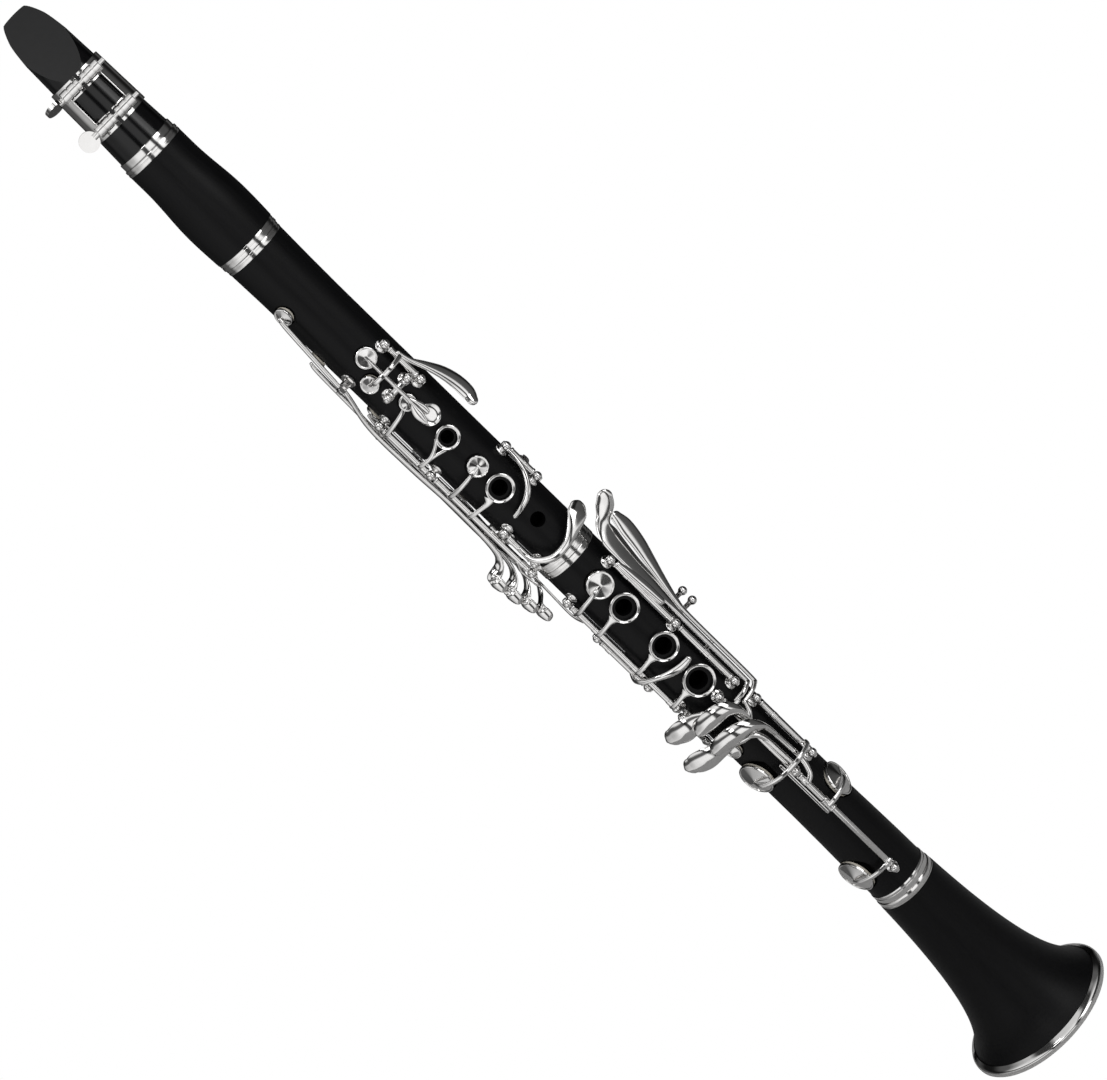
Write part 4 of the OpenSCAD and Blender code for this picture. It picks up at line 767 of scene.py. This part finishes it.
c = cup(E_HOLE, L0, tip=1.5)
make("rh_e_key_plate", "rh_e_key", [
    c, tube(3.7, HINGE_R, L0 + 17.2, L0 + 81, [L0 + 19.6, L0 + 77]),
    paddle([(L0 + 104, 22, 19.1, 1.3, 1.2), (L0 + 109, 19, 20.0, 1.6, 1.4),
            (L0 + 113.6, 12, 22.0, 2.4, 1.7),
            (L0 + 117.4, 2, 23.5, 3.8, 2.1), (L0 + 119.4, -10, 24.1, 4.6, 2.3),
            (L0 + 120, -21, 24.3, 4.9, 2.3),
            (L0 + 119.9, -32, 24.5, 4.5, 2.2), (L0 + 119.2, -42, 24.8, 3.5, 1.9)]),
    blade([(L0 + 106, 21, 19.0, 1.3, 1.3), (L0 + 96, 23.5, 18.4, 1.3, 1.3), (L0 + 85, 24, 18.3, 1.3, 1.3),
           (L0 + 78, 16, 18.8, 1.3, 1.3), (L0 + 76, 6, 19.4, 1.3, 1.2)]),
    blade([(L0 + 117, 6, 20.9, 1.3, 1.2), (L0 + 121, 17, 20.8, 1.2, 1.2), (L0 + 125, 23, 20.3, 1.1, 1.2)]),
    blade([(L0 + 19.6, 7, 19.9, 1.2, 1.3), (L0 + 19.6, -2, 20.5, 1.3, 1.4),
           (L0 + 19.6, -24, 20.6, 1.25, 1.5),
           (L0 + 20, -44, 20.4, 1.2, 1.4), (L0 + 20.6, -56, 19.8, 1.0, 1.2),
           (L0 + 20.8, -60, 19.2, 0.8, 1.0)],
          power=2.2)], "silver_plate", ["rh_e_key"])

c = cup(F_HOLE, L0, tip=1.5)
make("rh_f_key_plate", "rh_f_key", [
    c, tube(45, HINGE_R, L0 + 84.9, L0 + 117.9, [L0 + 88.2, L0 + 108.5]),
    paddle([(L0 + 90, 8, 22.2, 1.2, 1.3), (L0 + 98, 7.4, 22.1, 1.25, 1.3), (L0 + 106, 6.6, 22.0, 1.3, 1.3),
            (L0 + 110.4, 3.5, 22.0, 1.4, 1.3), (L0 + 112.8, -3, 21.6, 1.5, 1.3),
            (L0 + 113.8, -14, 20.9, 1.8, 1.3),
            (L0 + 115.2, -30, 19.8, 2.4, 1.4, -24), (L0 + 116, -44, 21.2, 3.9, 1.6, -27),
            (L0 + 116.8, -53, 23.8, 5.0, 2.0, -30),
            (L0 + 117.5, -61.5, 26.6, 5.8, 2.3, -30), (L0 + 118.2, -69, 29.4, 5.6, 2.2, -30),
            (L0 + 118.6, -73.6, 31.3, 4.5, 2.0, -30)]),
    blade([(L0 + 88.2, 48, 19.8, 1.3, 1.4), (L0 + 88.2, 40, 21.6, 1.3, 1.5),
           (L0 + 88.2, 20, 22.3, 1.3, 1.6),
           (L0 + 88.2, 0, 22.3, 1.3, 1.6), (L0 + 88.4, -20, 22.2, 1.3, 1.6),
           (L0 + 89.4, -40, 21.6, 1.2, 1.5),
           (L0 + 90.8, -51, 20.2, 1.0, 1.3), (L0 + 91.4, -56, 19.0, 0.8, 1.0)], power=2.2)],
     "silver_plate", ["rh_f_key"])

# ---------------------------------------------------------------- ligature
parts = []
for z in (612.3, 632.2):
    for x0, x1 in ((-10.7, -7.0), (-6.7, -3.2), (-2.9, -0.9), (0.9, 3.4), (3.7, 7.0), (7.3, 10.7)):
        w = x1 - x0
        parts.append(lathe([(1.6, 0), (2.6, 0), (2.85, 0.25), (2.85, w - 0.25), (2.6, w), (1.6, w),
                            (1.6, 0)],
                           Vector((x0, -16, z)), Vector((1, 0, 0)), 32))
for a in (-39.6, 39.6):
    parts.append(blade([(615.4, a, 14.0, 0.45, 0.5), (628.6, a, 13.75, 0.45, 0.5)], power=2.0))
make("ligature_barrels", "mouthpiece", parts, "silver_plate")

# ---------------------------------------------------------------- posts
U_RODS = ((-66.3, STACK_R, 5.5, 70.5), (-66.3, STACK_R, 70.5, 102.9), (33.5, HINGE_R, 105.7, 127.9),
          (57.5, HINGE_R, 35.9, 55.7), (-47, HINGE_R, 9, 29), (138, HINGE_R, 78, 102))
L_RODS = ((-61.5, HINGE_R, 143.6, 216.2), (-86, HINGE_R, 158, 192), (39, HINGE_R, 134.5, 174.2),
          (39, HINGE_R, 174.2, 217.3), (3.7, HINGE_R, 14.6, 83.6), (3.7, HINGE_R, 83.6, 135.7),
          (45, HINGE_R, 82.3, 120.5), (-72, HINGE_R, 115, 137))


def posts(rods, base):
    parts, seen = [], set()
    for a, r, z0, z1 in rods:
        for z, sign in ((z0, -1), (z1, 1)):
            if (a, z) in seen:
                continue
            seen.add((a, z))
            parts.append(post(a, r, base + z))
            inner = any((a, z) == (q[0], q[2 if sign > 0 else 3]) for q in rods)
            if not inner:
                parts.append(screw_end(a, r, base + z, sign))
    return parts


parts = posts(U_RODS, U0)
ap = math.degrees(math.atan(6.4 / 18.3))
for s in (-1, 1):
    parts.append(post(s * ap, math.hypot(6.4, 18.3), U0 + 110.8, 2.1))
for p in SIDE_PIVOTS + ((134, 180, 17.6, 3.2),):
    parts += saddle(U0 + p[0], p[1], p[2], p[3])
make("upper_posts", "upper_joint", parts, "silver_plate", ["upper_fittings"])
stops = [post(88, 24.6, L0 + z, 2.15) for z in (178.5, 172)]
make("lower_posts", "lower_joint", posts(L_RODS, L0) + stops, "silver_plate", ["lower_fittings"])


# ---------------------------------------------------------------- body rings
def turned_ring(z0, z1, ri, ro, grooves=(), depth=0.3, ro1=None):
    """A ring on a body, with rolled edges and turned grooves; ro1 is its radius at the top."""
    ro1 = ro if ro1 is None else ro1

    def rad(z):
        return ro + (ro1 - ro) * (z - z0) / (z1 - z0)
    prof = [(ri, z0), (ro - 0.4, z0), (ro - 0.1, z0 + 0.12), (rad(z0 + 0.4), z0 + 0.4)]
    for g in grooves:
        z = z0 + g * (z1 - z0)
        prof += [(rad(z) - 0.02, z - 0.34), (rad(z) - depth, z - 0.14), (rad(z) - depth, z + 0.14),
                 (rad(z) - 0.02, z + 0.34)]
    prof += [(rad(z1 - 0.4), z1 - 0.4), (ro1 - 0.1, z1 - 0.12), (ro1 - 0.4, z1), (ri, z1), (ri, z0)]
    return lathe(prof, Vector((0, 0, 0)), Vector((0, 0, 1)), 144)


guard = [(36.8, 0.0), (39.3, 0.0), (39.8, 0.15), (40.15, 0.6), (40.2, 1.2), (40.2, 2.0), (40.05, 2.7),
         (39.6, 3.3),
         (39.0, 3.75), (38.3, 4.15), (37.6, 4.6), (37.1, 4.9), (36.8, 4.3), (36.8, 0.0)]
make("bell_ring_bands", "bell", [
    lathe(guard, Vector((0, 0, 0)), Vector((0, 0, 1)), 160),
    turned_ring(97.4, 101, 14.6, 16.4, (0.3,), 0.35)], "silver_plate", ["bell_rings"])
make("lower_ring_bands", "lower_joint", [
    turned_ring(101, 105.6, 14.6, 16.0, (0.62,), 0.3),
    turned_ring(329.9, 333, 13.0, 15.0, (0.4,), 0.3)], "silver_plate", ["lower_joint_rings"])
make("upper_ring_bands", "upper_joint", [
    turned_ring(333, 337.2, 13.0, 15.0, (0.3, 0.66), 0.35),
    turned_ring(528.1, 531, 13.0, 15.5, (0.5,), 0.25)], "silver_plate", ["upper_joint_rings"])
make("barrel_ring_bands", "barrel", [
    turned_ring(531, 534.7, 13.3, 15.9, (0.55,), 0.3),
    turned_ring(588, 591.4, 13.3, 15.1, (0.5,), 0.25), turned_ring(591.4, 595, 13.3, 14.5, (), 0.2)],
     "silver_plate", ["barrel_rings"])
